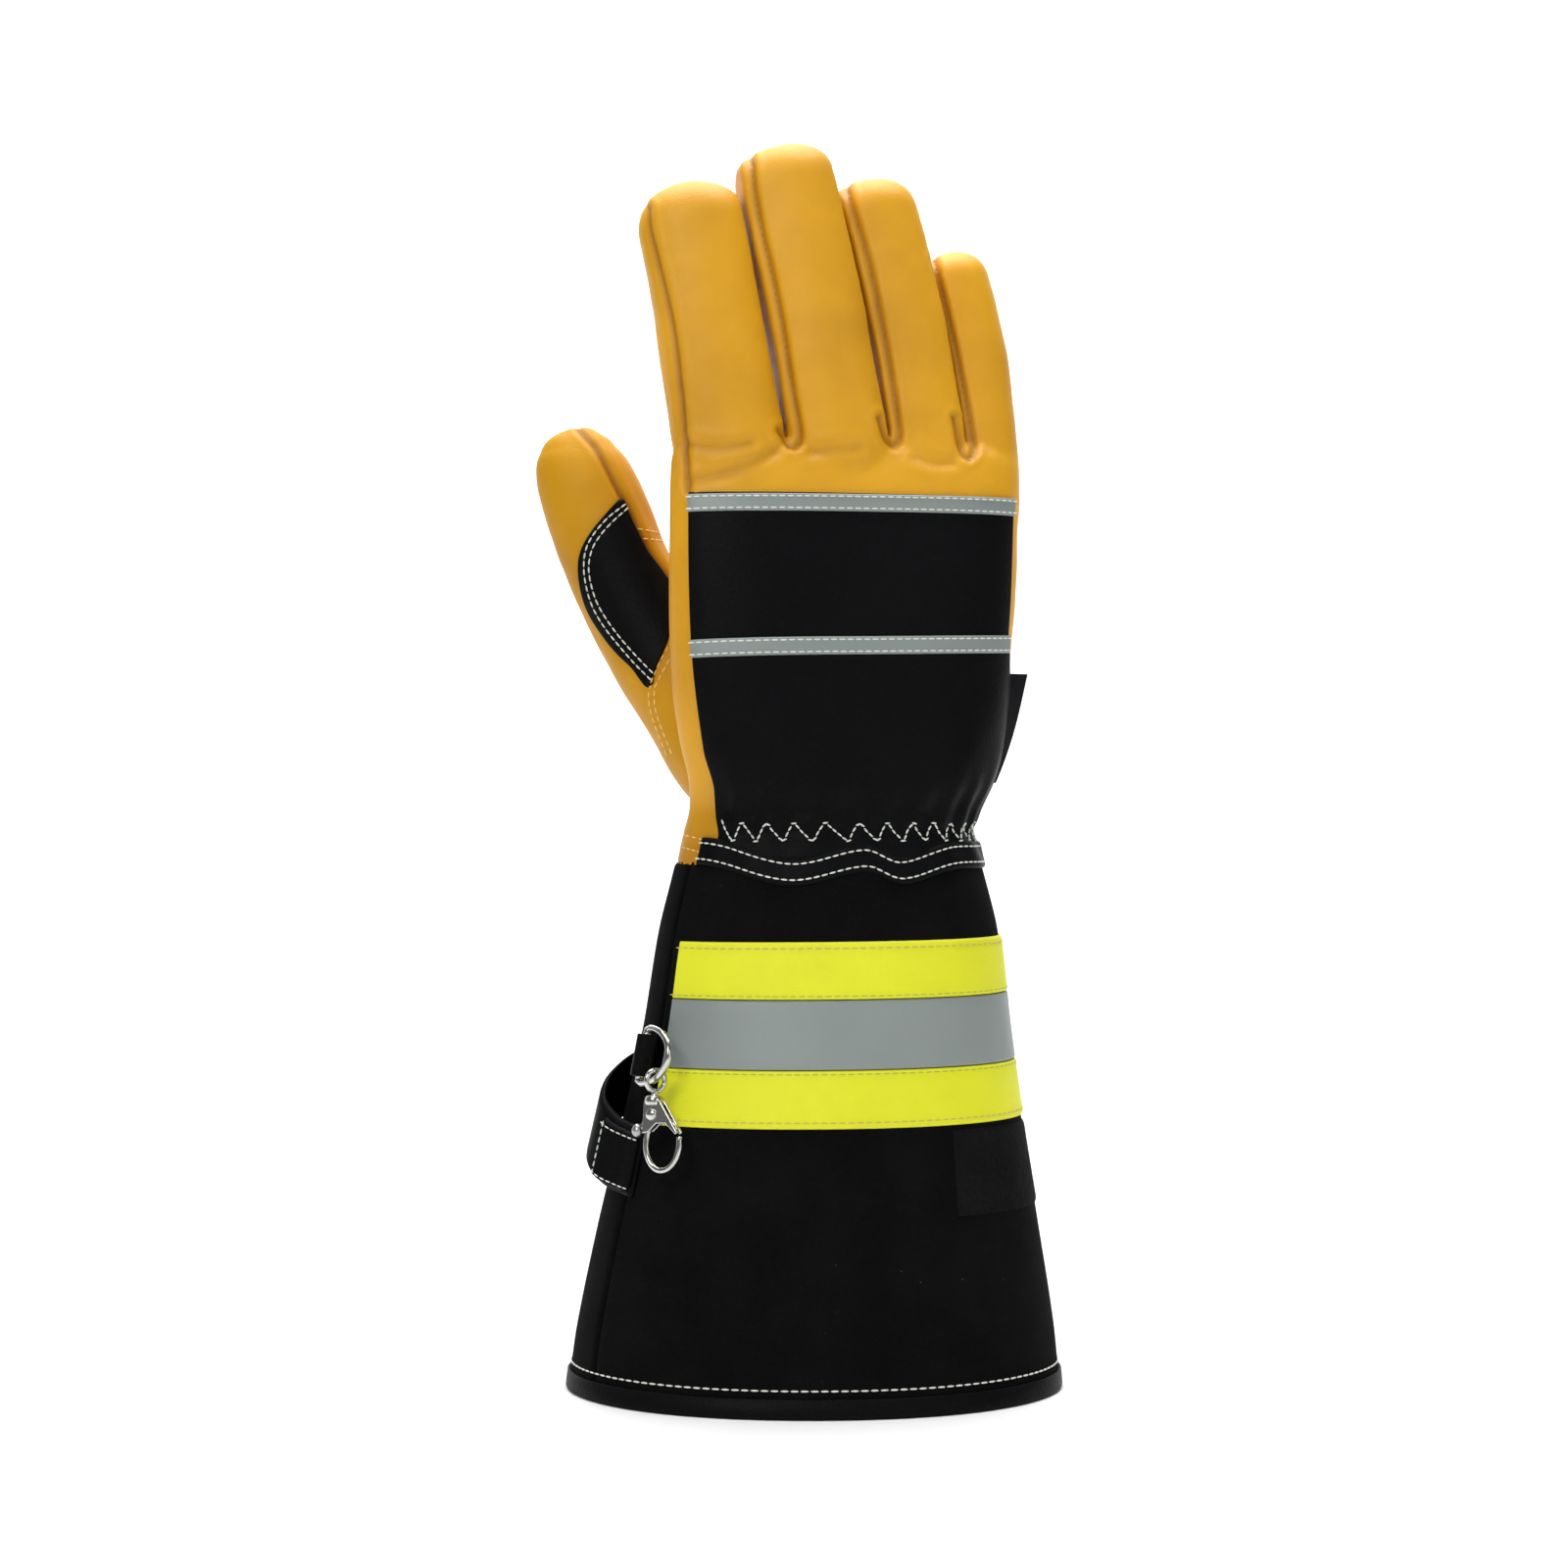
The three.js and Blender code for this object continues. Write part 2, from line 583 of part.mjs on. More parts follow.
const seamAngle = { left: 207, right: 368 };
const tapeAngle = { left: 213, right: 366 };
const tapeRise = 1.2;
const tapeLines = [tapeLow, tapeLow + yellowTapeHeight, tapeLow + yellowTapeHeight + silverTapeHeight,
  tapeLow + 2 * yellowTapeHeight + silverTapeHeight];
function tape(index) {
  return bodyLayer(tapeAngle.left, tapeAngle.right, tapeLines[index] + seamGap / 2,
    tapeLines[index + 1] - seamGap / 2, tapeThickness, 22, 1, tapeRise);
}

const wristBandLow = sewnHeight - 0.45 * wristBandHeight;
const wristBandAngle = { left: 213, right: 362 };
const wristBand = bodyLayer(wristBandAngle.left, wristBandAngle.right, wristBandLow, wristBandLow + wristBandHeight, bandThickness, 24, 2);

const loopPadTop = tapeLow - 2 * seamGap;
const loopPadAngle = { left: 308, right: 364 };
const loopPad = bodyLayer(loopPadAngle.left, loopPadAngle.right, loopPadTop - loopPadHeight, loopPadTop, tapeThickness, 8, 2);

// Suede: a back and a palm half that meet at the side seams.
const cuffTop = sewnHeight - seamGap;
const cuffFoot = bindingThickness + seamGap;
function cuffHalf(left, right) {
  const heights = [0, 0.2, 0.4, 0.6, 0.8, 0.92, 1];
  const steps = heights.length - 1;
  return plate((u, v, layer) => {
    const height = cuffFoot + heights[Math.round(v * steps)] * (cuffTop - cuffFoot);
    const trim = (seamGap / 2 / bodySection(height).deep) / degrees;
    return bodyPoint(left + trim + u * (right - left - 2 * trim), height, (layer - 1) * suedeWall);
  }, 18, steps);
}

// Binding: a folded strip round the hem, U-shaped in section.
function binding() {
  const slack = 2 * seamGap;
  const outer = slack + bindingThickness;
  const inner = -suedeWall - slack;
  const profile = [
    [outer, 0], [outer, bindingHeight], [slack, bindingHeight], [slack, bindingThickness],
    [inner, bindingThickness], [inner, bindingHeight], [inner - bindingThickness, bindingHeight],
    [inner - bindingThickness, 0],
  ];
  const sides = 32;
  return loft(Array.from({ length: sides }, (_, k) => (
    profile.map(([out, height]) => bodyPoint((360 * k) / sides, height, out))
  )), true);
}

// Wear patch on the thumb: row counts along thumbRows, from and to are angles round it.
const patchRows = [
  { up: 2.55, from: -30, to: -22 },
  { up: 2.75, from: -38, to: -2 },
  { up: 3.0, from: -44, to: 30 },
  { up: 3.35, from: -50, to: 66 },
  { up: 3.8, from: -53, to: 72 },
  { up: 4.2, from: -48, to: 72 },
  { up: 4.55, from: -34, to: 70 },
  { up: 4.85, from: -8, to: 62 },
  { up: 5.1, from: 30, to: 52 },
];
const patchSeat = 3.4 * seamGap; // clear of the thumb's facets
const thumbPatch = solidOf(plate((u, v, layer) => {
  const row = patchRows[Math.round(v * (patchRows.length - 1))];
  return thumbPoint(row.from + u * (row.to - row.from), row.up, patchSeat + layer * patchThickness);
}, 6, patchRows.length - 1)).subtract(bodyLoft(handHeights, seamGap, bodySides));

// Folded label in the side seam, left blank.
const labelAngle = 352;
const labelLow = cuffHeight + 0.125 * handRise;
const label = plate((u, v, layer) => {
  const height = labelLow + v * labelHeight;
  const root = bodyPoint(labelAngle, height, 3 * seamGap);
  const drop = 0.03 * labelHeight * (1 - v) * u;
  return root.add(new THREE.Vector3(u * labelWidth * (0.3 + 0.38 * v), (u * 0.55 * labelWidth) + layer * labelThickness, -drop));
}, 2, 4);

// The D-ring's bar lies along the cuff, off its surface by the folded tab.
const barAngle = 212;
const barHeight = tapeLow + 1.15 * yellowTapeHeight;
const wireRadius = ringWire / 2;
const tabBore = wireRadius + 0.4;
const tabRadius = tabBore + tabLeather;
const barFrame = (() => {
  const low = bodyPoint(barAngle, barHeight - ringHeight / 2);
  const high = bodyPoint(barAngle, barHeight + ringHeight / 2);
  const up = high.clone().sub(low).normalize();
  const tangent = bodyPoint(barAngle + 1, barHeight).sub(bodyPoint(barAngle - 1, barHeight)).normalize();
  const out = new THREE.Vector3().crossVectors(tangent, up).normalize();
  const origin = low.add(high).multiplyScalar(0.5).addScaledVector(out, barStand);
  return { origin, up, tangent, out };
})();

// A round wire along a plane path, as rings square to it.
function wire(path, planeNormal, radius, sides, joined) {
  const rings = path.map((point, k) => {
    const before = joined ? path.at(k - 1) : path[Math.max(k - 1, 0)];
    const after = joined ? path[(k + 1) % path.length] : path[Math.min(k + 1, path.length - 1)];
    const side = after.clone().sub(before).normalize().cross(planeNormal).normalize();
    return Array.from({ length: sides }, (_, s) => {
      const angle = (2 * Math.PI * (s + 0.5)) / sides;
      return point.clone().addScaledVector(side, radius * Math.cos(angle))
        .addScaledVector(planeNormal, radius * Math.sin(angle));
    });
  });
  return loft(rings, joined);
}

// Ring plane: from the bar towards the front, standing a little off the cuff.
const ringStand = 10; // degrees off the cuff's tangent
const ringOut = barFrame.tangent.clone().applyAxisAngle(barFrame.up, -ringStand * degrees);
const ringNormal = new THREE.Vector3().crossVectors(ringOut, barFrame.up).normalize();
function ringPoint(angle) {
  return barFrame.origin.clone()
    .addScaledVector(ringOut, ringReach * Math.sin(angle * degrees) ** 0.85)
    .addScaledVector(barFrame.up, (ringHeight / 2) * Math.cos(angle * degrees));
}
const ringPath = [
  ...Array.from({ length: 15 }, (_, k) => ringPoint(4 + (172 * k) / 14)),
  ...[-0.44, -0.22, 0, 0.22, 0.44].map((share) => (
    barFrame.origin.clone().addScaledVector(barFrame.up, share * 2 * (ringHeight / 2) * 0.97)
  )),
];
const dRing = wire(ringPath, ringNormal, wireRadius, 6, true);

// The tab folds round the bar and runs back along the cuff.
function ringTab() {
  const tail = 10;
  const bulge = tail * tail / (0.8 * handWidth); // how far the round cuff falls away under the tail
  const seat = -barStand + seamGap;
  const shape = new THREE.Shape();
  shape.moveTo(-tail, seat - bulge);
  shape.lineTo(-tail * 0.4, seat);
  shape.lineTo(-tail * 0.22, seat + 0.4);
  shape.absarc(0, 0, tabRadius, -Math.PI * 0.28, Math.PI * 0.8, false);
  shape.lineTo(-tail * 0.62, seat + 2 * tabLeather + 0.6);
  shape.lineTo(-tail, seat - bulge + 2 * tabLeather);
  shape.closePath();
  const bore = new THREE.Path();
  bore.absarc(0, 0, tabBore, 0, 2 * Math.PI, true);
  shape.holes.push(bore);
  const geometry = new THREE.ExtrudeGeometry(shape, { depth: tabHeight, bevelEnabled: false, curveSegments: 8 });
  geometry.translate(0, 0, -tabHeight / 2);
  return geometry;
}
const tabMatrix = new THREE.Matrix4().makeBasis(barFrame.tangent, barFrame.out, barFrame.up.clone().negate())
  .setPosition(barFrame.origin);

// Hook, in its own frame: the origin is the eye's centre, x across the hook, z up.
const linkAngle = 142;
const eyeRadius = (eyeWidth - eyeWire) / 2;
const eyeCentre = ringPoint(linkAngle).add(new THREE.Vector3(0, 0, -(eyeRadius - eyeWire / 2 - wireRadius - 1.8 * seamGap)));
const eyeTurn = Math.atan2(ringOut.y, ringOut.x) + Math.PI / 2;
const local = (x, y, z) => new THREE.Vector3(x, y, z);
const shankRadius = 0.95;
const collarTop = -eyeWidth / 2 - seamGap;

function swivelEye() {
  const path = Array.from({ length: 12 }, (_, k) => {
    const angle = (2 * Math.PI * k) / 12;
    return local(eyeRadius * Math.cos(angle), 0, eyeRadius * Math.sin(angle));
  });
  const loop = solidOf(wire(path, local(0, 1, 0), eyeWire / 2, 6, true));
  const shank = new THREE.LatheGeometry([
    new THREE.Vector2(0, -3.4), new THREE.Vector2(1.7, -3.4), new THREE.Vector2(1.7, -2.6),
    new THREE.Vector2(shankRadius, -2.6), new THREE.Vector2(shankRadius, 0.6), new THREE.Vector2(0, 0.6),
  ], 12).rotateX(Math.PI / 2).translate(0, 0, -eyeRadius);
  return loop.add(solidOf(closedCopy(shank)));
}

function closedCopy(geometry) {
  const bare = geometry.clone();
  bare.deleteAttribute('normal');
  bare.deleteAttribute('uv');
  const merged = mergeVertices(bare, 1e-4);
  const position = merged.attributes.position;
  const points = Array.from({ length: position.count }, (_, k) => new THREE.Vector3().fromBufferAttribute(position, k));
  const faces = [];
  for (let k = 0; k < merged.index.count; k += 3) {
    const face = [0, 1, 2].map((n) => merged.index.getX(k + n));
    if (new Set(face).size === 3) faces.push(...face);
  }
  return closedGeometry(points, faces);
}

function roundBar(radius, low, high, sides = 12) {
  return closedCopy(new THREE.LatheGeometry([
    new THREE.Vector2(0, low), new THREE.Vector2(radius, low),
    new THREE.Vector2(radius, high), new THREE.Vector2(0, high),
  ], sides));
}

const rivetAt = local(0.3, 0, -10.2);
const loopCentre = local(4, 0, -18.8);

function hookBody() {
  // two cheeks joined under the collar, and the hook's wire
  const outline = new THREE.Shape([
    [-2.7, -5.6], [3, -5.6], [9.9, -15.3], [9.2, -15.9], [5.4, -12.8], [2.2, -13],
    [-0.4, -15.6], [-2.7, -16.2],
  ].map(([x, z]) => new THREE.Vector2(x, z)));
  const cheeks = solidOf(new THREE.ExtrudeGeometry(outline, { depth: hookThickness, bevelEnabled: false })
    .rotateX(Math.PI / 2).translate(0, hookThickness / 2, 0));
  const slotWidth = gateThickness + 2 * seamGap;
  const slot = solidOf(new THREE.BoxGeometry(40, slotWidth, 20).translate(0, 0, -7 - 10));
  const collar = solidOf(roundBar(2.9, collarTop - 3.4, collarTop).rotateX(Math.PI / 2));
  const pocket = solidOf(roundBar(2, -eyeRadius - 3.4 - seamGap, -eyeRadius - 2.6 + seamGap).rotateX(Math.PI / 2));
  const neck = solidOf(roundBar(shankRadius + seamGap, -eyeRadius - 3, -1).rotateX(Math.PI / 2));
  const bore = solidOf(roundBar(rivetDiameter / 2 + seamGap, -5, 5)).translate(rivetAt.toArray());
  const [halfWidth, halfHeight] = [(hookLoopWidth - hookWire) / 2, (hookLoopHeight - hookWire) / 2];
  const path = Array.from({ length: 15 }, (_, k) => {
    const angle = (148 + (228 * k) / 14) * degrees;
    return local(loopCentre.x + halfWidth * Math.cos(angle), 0, loopCentre.z + halfHeight * Math.sin(angle));
  });
  const hook = solidOf(wire(path, local(0, 1, 0), hookWire / 2, 8, false));
  return mainBody(cheeks.subtract(slot).add(collar).subtract(pocket).subtract(neck).subtract(bore).add(hook));
}

function hookGate() {
  // an arm that closes the hook and a thumb lever, on one pivot
  const arm = new THREE.Shape([
    [-1.4, 0.9], [1, 1.3], [8.3, -2.9], [8.9, -4.2], [7.6, -4.3], [1.2, -1.4],
    [-0.9, -1.5], [-4.3, -5.2], [-5.4, -4.4],
  ].map(([x, z]) => new THREE.Vector2(x, z)));
  const lever = solidOf(new THREE.ExtrudeGeometry(arm, { depth: gateThickness, bevelEnabled: false })
    .rotateX(Math.PI / 2).translate(0, gateThickness / 2, 0));
  const thumbPiece = solidOf(new THREE.SphereGeometry(1.9, 8, 6).scale(1, 0.9, 1.15).translate(-5.6, 0, -5.2));
  const bore = solidOf(roundBar(rivetDiameter / 2 + seamGap, -5, 5));
  return lever.subtract(bore).add(thumbPiece).translate(rivetAt.toArray());
}

function hookRivet() {
  const head = hookThickness / 2 + seamGap;
  const [shank, wide] = [rivetDiameter / 2, rivetHeadDiameter / 2];
  const profile = [[0, -head - 0.7], [wide * 0.7, -head - 0.7], [wide, -head], [shank, -head],
    [shank, head], [wide, head], [wide * 0.7, head + 0.7], [0, head + 0.7]];
  return closedCopy(new THREE.LatheGeometry(profile.map(([x, y]) => new THREE.Vector2(x, y)), 12))
    .translate(...rivetAt.toArray());
}

// Adjuster strap: a band that stands off the thumb side as a loop, and its closing flap.
// angle is round the cuff, up a share of tapeLow, off a share of strapStandOff.
const strapRows = [
  { up: 0, angle: 166, level: 1.12, off: 0.06 },
  { up: 0.2, angle: 175, level: 1.09, off: 0.4 },
  { up: 0.4, angle: 184, level: 1.03, off: 0.88 },
  { up: 0.58, angle: 192, level: 0.96, off: 1 },
  { up: 0.76, angle: 200, level: 0.9, off: 0.62 },
  { up: 0.9, angle: 207, level: 0.87, off: 0.16 },
  { up: 1, angle: 212, level: 0.86, off: 0.06 },
];

function strapPoint(along, across, out) {
  const height = tapeLow * rowValue(strapRows, 'level', along) + across;
  return bodyPoint(rowValue(strapRows, 'angle', along), height,
    seamGap + strapStandOff * rowValue(strapRows, 'off', along) + out);
}

const strapLoop = plate((u, v, layer) => (
  strapPoint(u, (v - 0.5) * strapWidth, layer * strapThickness)
), 18, 2);
const strapFlap = plate((u, v, layer) => (
  strapPoint(0.66 + 0.34 * u, (v - 0.5) * (strapWidth - 3), strapThickness + seamGap + layer * strapThickness)
), 8, 2);

// Finishes
const finish = (color, roughness, metalness = 0) => new THREE.MeshStandardMaterial({ color, roughness, metalness });
const yellowLeather = finish('#d89c1f', 0.55);
const blackLeather = finish('#111214', 0.45);
const suede = finish('#0a0a0b', 0.95);
const hiVis = finish('#e1e22b', 0.6);
const silver = finish('#8f9997', 0.5);
const loopPile = finish('#0d0d0e', 1);
const wovenLabel = finish('#15151a', 0.8);
const nickel = finish('#c9ccd0', 0.25, 1);

const glove = new THREE.Group();

function addPiece(parent, name, shape, material) {
  const geometry = shape instanceof THREE.BufferGeometry ? shape : geometryOf(shape);
  const mesh = new THREE.Mesh(geometry, material);
  mesh.name = name;
  parent.add(mesh);
  return mesh;
}

addPiece(glove, 'palm_shell', palmShell, yellowLeather);
addPiece(glove, 'finger_backs', fingerBacks, yellowLeather);
fourchettes.forEach((solid, i) => {
  addPiece(glove, `fourchette_${fingerRows[i].name}_${fingerRows[i + 1].name}`, solid, yellowLeather);
});
addPiece(glove, 'thumb_shell', thumbShell, yellowLeather);
addPiece(glove, 'thumb_patch', mainBody(thumbPatch), blackLeather);
addPiece(glove, 'back_panel', backPanel, blackLeather);
addPiece(glove, 'strip_upper', panelStrip(panelTop - stripHeight / 2 - 0.4, 0.8), silver);
addPiece(glove, 'strip_lower', panelStrip(cuffHeight + 0.47 * handRise, 2.6), silver);
addPiece(glove, 'wrist_band', wristBand, blackLeather);
addPiece(glove, 'gauntlet_back', cuffHalf(seamAngle.left, seamAngle.right), suede);
addPiece(glove, 'gauntlet_palm', cuffHalf(seamAngle.right - 360, seamAngle.left), suede);
addPiece(glove, 'tape_lower', tape(0), hiVis);
addPiece(glove, 'tape_silver', tape(1), silver);
addPiece(glove, 'tape_upper', tape(2), hiVis);
addPiece(glove, 'hem_binding', binding(), blackLeather);
addPiece(glove, 'loop_pad', loopPad, loopPile);
addPiece(glove, 'label_tab', label, wovenLabel);
addPiece(glove, 'strap_loop', strapLoop, blackLeather);
addPiece(glove, 'strap_flap', strapFlap, blackLeather);
addPiece(glove, 'ring_tab', ringTab().applyMatrix4(tabMatrix), blackLeather);
addPiece(glove, 'd_ring', dRing, nickel);

// The hook hangs from its eye, turned to face the front and leaning out with the cuff.
const hookGroup = new THREE.Group();
hookGroup.position.copy(eyeCentre);
hookGroup.rotation.set(-hookLean * degrees, 0, -hookTurn * degrees, 'ZXY');
const eyeGroup = new THREE.Group();
eyeGroup.rotation.z = eyeTurn + hookTurn * degrees;
addPiece(eyeGroup, 'hook_eye', swivelEye(), nickel);
hookGroup.add(eyeGroup);
addPiece(hookGroup, 'hook_body', hookBody(), nickel);
addPiece(hookGroup, 'hook_gate', hookGate(), nickel);
addPiece(hookGroup, 'hook_rivet', hookRivet(), nickel);
glove.add(hookGroup);

// The origin is the middle of the glove's box on the surface that it stands on.
const box = new THREE.Box3().setFromObject(glove, true);
glove.position.set(-(box.min.x + box.max.x) / 2, -(box.min.y + box.max.y) / 2, -box.min.z);
glove.updateMatrixWorld(true);

export default glove;
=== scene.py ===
import math
import bmesh
import bpy
import numpy as np
from mathutils import Matrix, Vector, noise
from mathutils.bvhtree import BVHTree
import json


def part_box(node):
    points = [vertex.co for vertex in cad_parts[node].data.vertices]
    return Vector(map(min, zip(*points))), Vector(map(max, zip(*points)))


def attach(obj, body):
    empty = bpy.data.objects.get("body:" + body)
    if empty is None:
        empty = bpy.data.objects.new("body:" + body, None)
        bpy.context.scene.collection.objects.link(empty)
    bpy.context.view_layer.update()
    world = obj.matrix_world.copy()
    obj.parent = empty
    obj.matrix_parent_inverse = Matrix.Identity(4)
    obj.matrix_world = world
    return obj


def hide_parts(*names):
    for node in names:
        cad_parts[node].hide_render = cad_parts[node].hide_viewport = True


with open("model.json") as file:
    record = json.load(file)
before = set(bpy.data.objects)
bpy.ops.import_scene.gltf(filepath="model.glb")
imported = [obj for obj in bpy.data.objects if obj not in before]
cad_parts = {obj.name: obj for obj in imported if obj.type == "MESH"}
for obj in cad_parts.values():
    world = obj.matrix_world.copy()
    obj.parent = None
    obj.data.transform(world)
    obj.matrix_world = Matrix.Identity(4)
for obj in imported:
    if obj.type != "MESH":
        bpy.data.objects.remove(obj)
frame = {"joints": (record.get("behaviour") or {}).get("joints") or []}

def linked(name, data):
    """A new object of the scene that holds some data."""
    obj = bpy.data.objects.new(name, data)
    bpy.context.scene.collection.objects.link(obj)
    return obj


# Camera: square to the back of the hand, level with the middle of the glove.
eye = Vector((-0.0043, -1.0, 0.19))
camera_data = bpy.data.cameras.new("camera")
camera_data.sensor_width = 36
camera_data.lens = 72.6
camera = linked("camera", camera_data)
camera.location = eye
camera.rotation_euler = (math.radians(90), 0, 0)
bpy.context.scene.camera = camera
bpy.context.scene.view_settings.view_transform = "Standard"


# Stage: a pale floor that curves up into a pale wall.
def smooth_mesh(name, points, faces, uv=None):
    """An object with smooth faces. Its points, and the uv of its cloth, are in millimetres."""
    mesh = bpy.data.meshes.new(name)
    mesh.from_pydata((np.asarray(points) * 0.001).tolist(), [], faces)
    if uv is not None:
        corners = np.empty(len(mesh.loops), dtype=np.int32)
        mesh.loops.foreach_get("vertex_index", corners)
        mesh.uv_layers.new(name="cloth").data.foreach_set("uv", (uv * 0.001)[corners].ravel())
    mesh.polygons.foreach_set("use_smooth", [True] * len(mesh.polygons))
    return linked(name, mesh)


def grid_mesh(name, points, closed=False):
    """A quad mesh over rows of points, each row closed into a ring or open."""
    rows, columns = points.shape[:2]
    j, i = np.meshgrid(np.arange(rows - 1), np.arange(columns if closed else columns - 1), indexing="ij")
    after = (i + 1) % columns
    faces = np.stack([j * columns + i, j * columns + after, (j + 1) * columns + after,
                      (j + 1) * columns + i], axis=-1).reshape(-1, 4)
    return smooth_mesh(name, points.reshape(-1, 3), faces.tolist())


def node_maker(tree):
    """A function that adds a node, or finds one by name, and fills its inputs.

    An input takes a value or another node's output."""
    def add(kind, inputs=None, **settings):
        node = tree.nodes.get(kind) or tree.nodes.new(kind)
        for key, value in settings.items():
            setattr(node, key, value)
        for key, value in (inputs or {}).items():
            if isinstance(value, bpy.types.NodeSocket):
                tree.links.new(value, node.inputs[key])
            else:
                node.inputs[key].default_value = value
        return node
    return add


def new_material(name):
    material = bpy.data.materials.new(name)
    material.use_nodes = True
    return material, node_maker(material.node_tree)


def plain_material(name, color, roughness, metallic=0.0):
    material, add = new_material(name)
    add("Principled BSDF", {"Base Color": (*color, 1), "Roughness": roughness, "Metallic": metallic})
    return material


profile = [(-4000.0, 0.0), (600.0, 0.0)]
profile += [(600 + 700 * math.sin(a), 700 - 700 * math.cos(a))
            for a in np.linspace(0.1, math.pi / 2, 14)]
profile += [(1300.0, 3500.0)]
stage = grid_mesh("stage", np.array([[(x, y, z) for x in (-4000.0, 4000.0)] for y, z in profile]))
stage.data.materials.append(plain_material("pale paper", (0.86, 0.86, 0.86), 0.9))


def soft_light(name, place, aim, size, power):
    data = bpy.data.lights.new(name, "AREA")
    data.shape = "DISK"
    data.size = size
    data.energy = power
    lamp = linked(name, data)
    lamp.location = place
    lamp.rotation_euler = (Vector(aim) - Vector(place)).to_track_quat("-Z", "Y").to_euler()


soft_light("key light", (-0.55, -1.25, 1.0), (0, 0, 0.2), 0.7, 10.5)
soft_light("fill light", (0.9, -1.1, 0.5), (0, 0, 0.2), 0.9, 2.8)
soft_light("top light", (0.1, -0.1, 1.5), (0, 0, 0.2), 0.8, 4.2)
soft_light("wall light", (0, 0.5, 1.6), (0, 1.3, 0.4), 1.6, 44)
world = bpy.data.worlds.new("studio")
world.use_nodes = True
node_maker(world.node_tree)("Background", {"Color": (1, 1, 1, 1), "Strength": 0.18})
bpy.context.scene.world = world


# Hand: padded yellow leather. The palm, the finger backs and the strips between the fingers
# are sewn into one skin, with fine grooves along the seams. The hand's and the cuff's
# sections are in two tables. Lengths are in millimetres from here on.
low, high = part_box("hem_binding")
middle_x = 500 * (low[0] + high[0])
CUFF_HEIGHT, HAND_RISE, HAND_WIDTH, HAND_DEPTH = 176.0, 121.0, 110.0, 50.0
HEM_WIDTH, HEM_DEPTH, GATHERS = 154.0, 114.0, 8
HAND_TOP = CUFF_HEIGHT + HAND_RISE
SEWN = CUFF_HEIGHT * 0.945  # where the hand is sewn to the cuff
HAND_TURN, GATHER_DEPTH = math.tan(math.radians(12)), 1.3
# up a share of HAND_RISE; left, right of HAND_WIDTH; deep of HAND_DEPTH; turn; gather; round
HAND_ROWS = [
    (0, 0.369, 0.452, 0.54, 0.35, 0.5, 2.2),
    (0.05, 0.35, 0.47, 0.53, 0.45, 1, 2.2),
    (0.12, 0.352, 0.508, 0.545, 0.6, 0.9, 2.3),
    (0.24, 0.385, 0.542, 0.52, 0.8, 0.35, 2.4),
    (0.37, 0.403, 0.561, 0.505, 0.95, 0, 2.5),
    (0.56, 0.411, 0.581, 0.48, 1, 0, 2.5),
    (0.78, 0.413, 0.591, 0.42, 1, 0, 2.5),
    (0.9, 0.411, 0.594, 0.355, 1, 0, 2.5),
    (0.97, 0.403, 0.586, 0.28, 1, 0, 2.6),
    (1, 0.385, 0.566, 0.2, 1, 0, 2.6),
]
# up a share of CUFF_HEIGHT; left, right and deep shares of the flare from wrist to hem
CUFF_ROWS = [
    (0, 1, 1, 1, 0, 0, 2),
    (0.11, 0.932, 0.934, 0.93, 0, 0, 2),
    (0.29, 0.756, 0.761, 0.76, 0.02, 0, 2),
    (0.46, 0.561, 0.592, 0.58, 0.06, 0, 2.05),
    (0.64, 0.368, 0.43, 0.4, 0.12, 0, 2.1),
    (0.815, 0.229, 0.305, 0.25, 0.2, 0, 2.15),
    (0.905, 0.122, 0.169, 0.13, 0.26, 0.1, 2.2),
    (1, 0, 0, 0, 0.35, 0.5, 2.2),
]


def read(rows, column, up):
    """The value of a table's column at up, on a smooth curve between its rows."""
    up = np.asarray(up, dtype=float)
    xs = np.array([row[0] for row in rows], dtype=float)
    ys = np.array([row[column] for row in rows], dtype=float)
    last = len(xs) - 1
    before, after = np.clip(np.arange(last + 1) - 1, 0, last), np.clip(np.arange(last + 1) + 1, 0, last)
    slope = (ys[after] - ys[before]) / (xs[after] - xs[before])
    i = np.clip(np.searchsorted(xs, up, side="right") - 1, 0, last - 1)
    span = xs[i + 1] - xs[i]
    t = np.clip((up - xs[i]) / span, 0, 1)
    rise = t * t * (3 - 2 * t)
    return (ys[i] * (1 - rise) + ys[i + 1] * rise
            + span * (t * (1 - t) ** 2 * slope[i] - t * t * (1 - t) * slope[i + 1]))


def power(value, exponent):
    return np.sign(value) * np.abs(value) ** exponent


def section(height):
    """Half sizes, shear, gather and exponent of the glove's section at a height."""
    height = np.asarray(height, dtype=float)
    hand, cuff = (height - CUFF_HEIGHT) / HAND_RISE, height / CUFF_HEIGHT
    wrist = HAND_ROWS[0]

    def pick(column, size=1.0, foot=None):
        on_cuff = read(CUFF_ROWS, column, cuff)
        if foot is not None:
            on_cuff = wrist[column] * size + (foot - wrist[column] * size) * on_cuff
        return np.where(height > CUFF_HEIGHT, size * read(HAND_ROWS, column, hand), on_cuff)

    return (pick(1, HAND_WIDTH, HEM_WIDTH / 2), pick(2, HAND_WIDTH, HEM_WIDTH / 2),
            pick(3, HAND_DEPTH, HEM_DEPTH / 2), HAND_TURN * pick(4), GATHER_DEPTH * pick(5), pick(6))


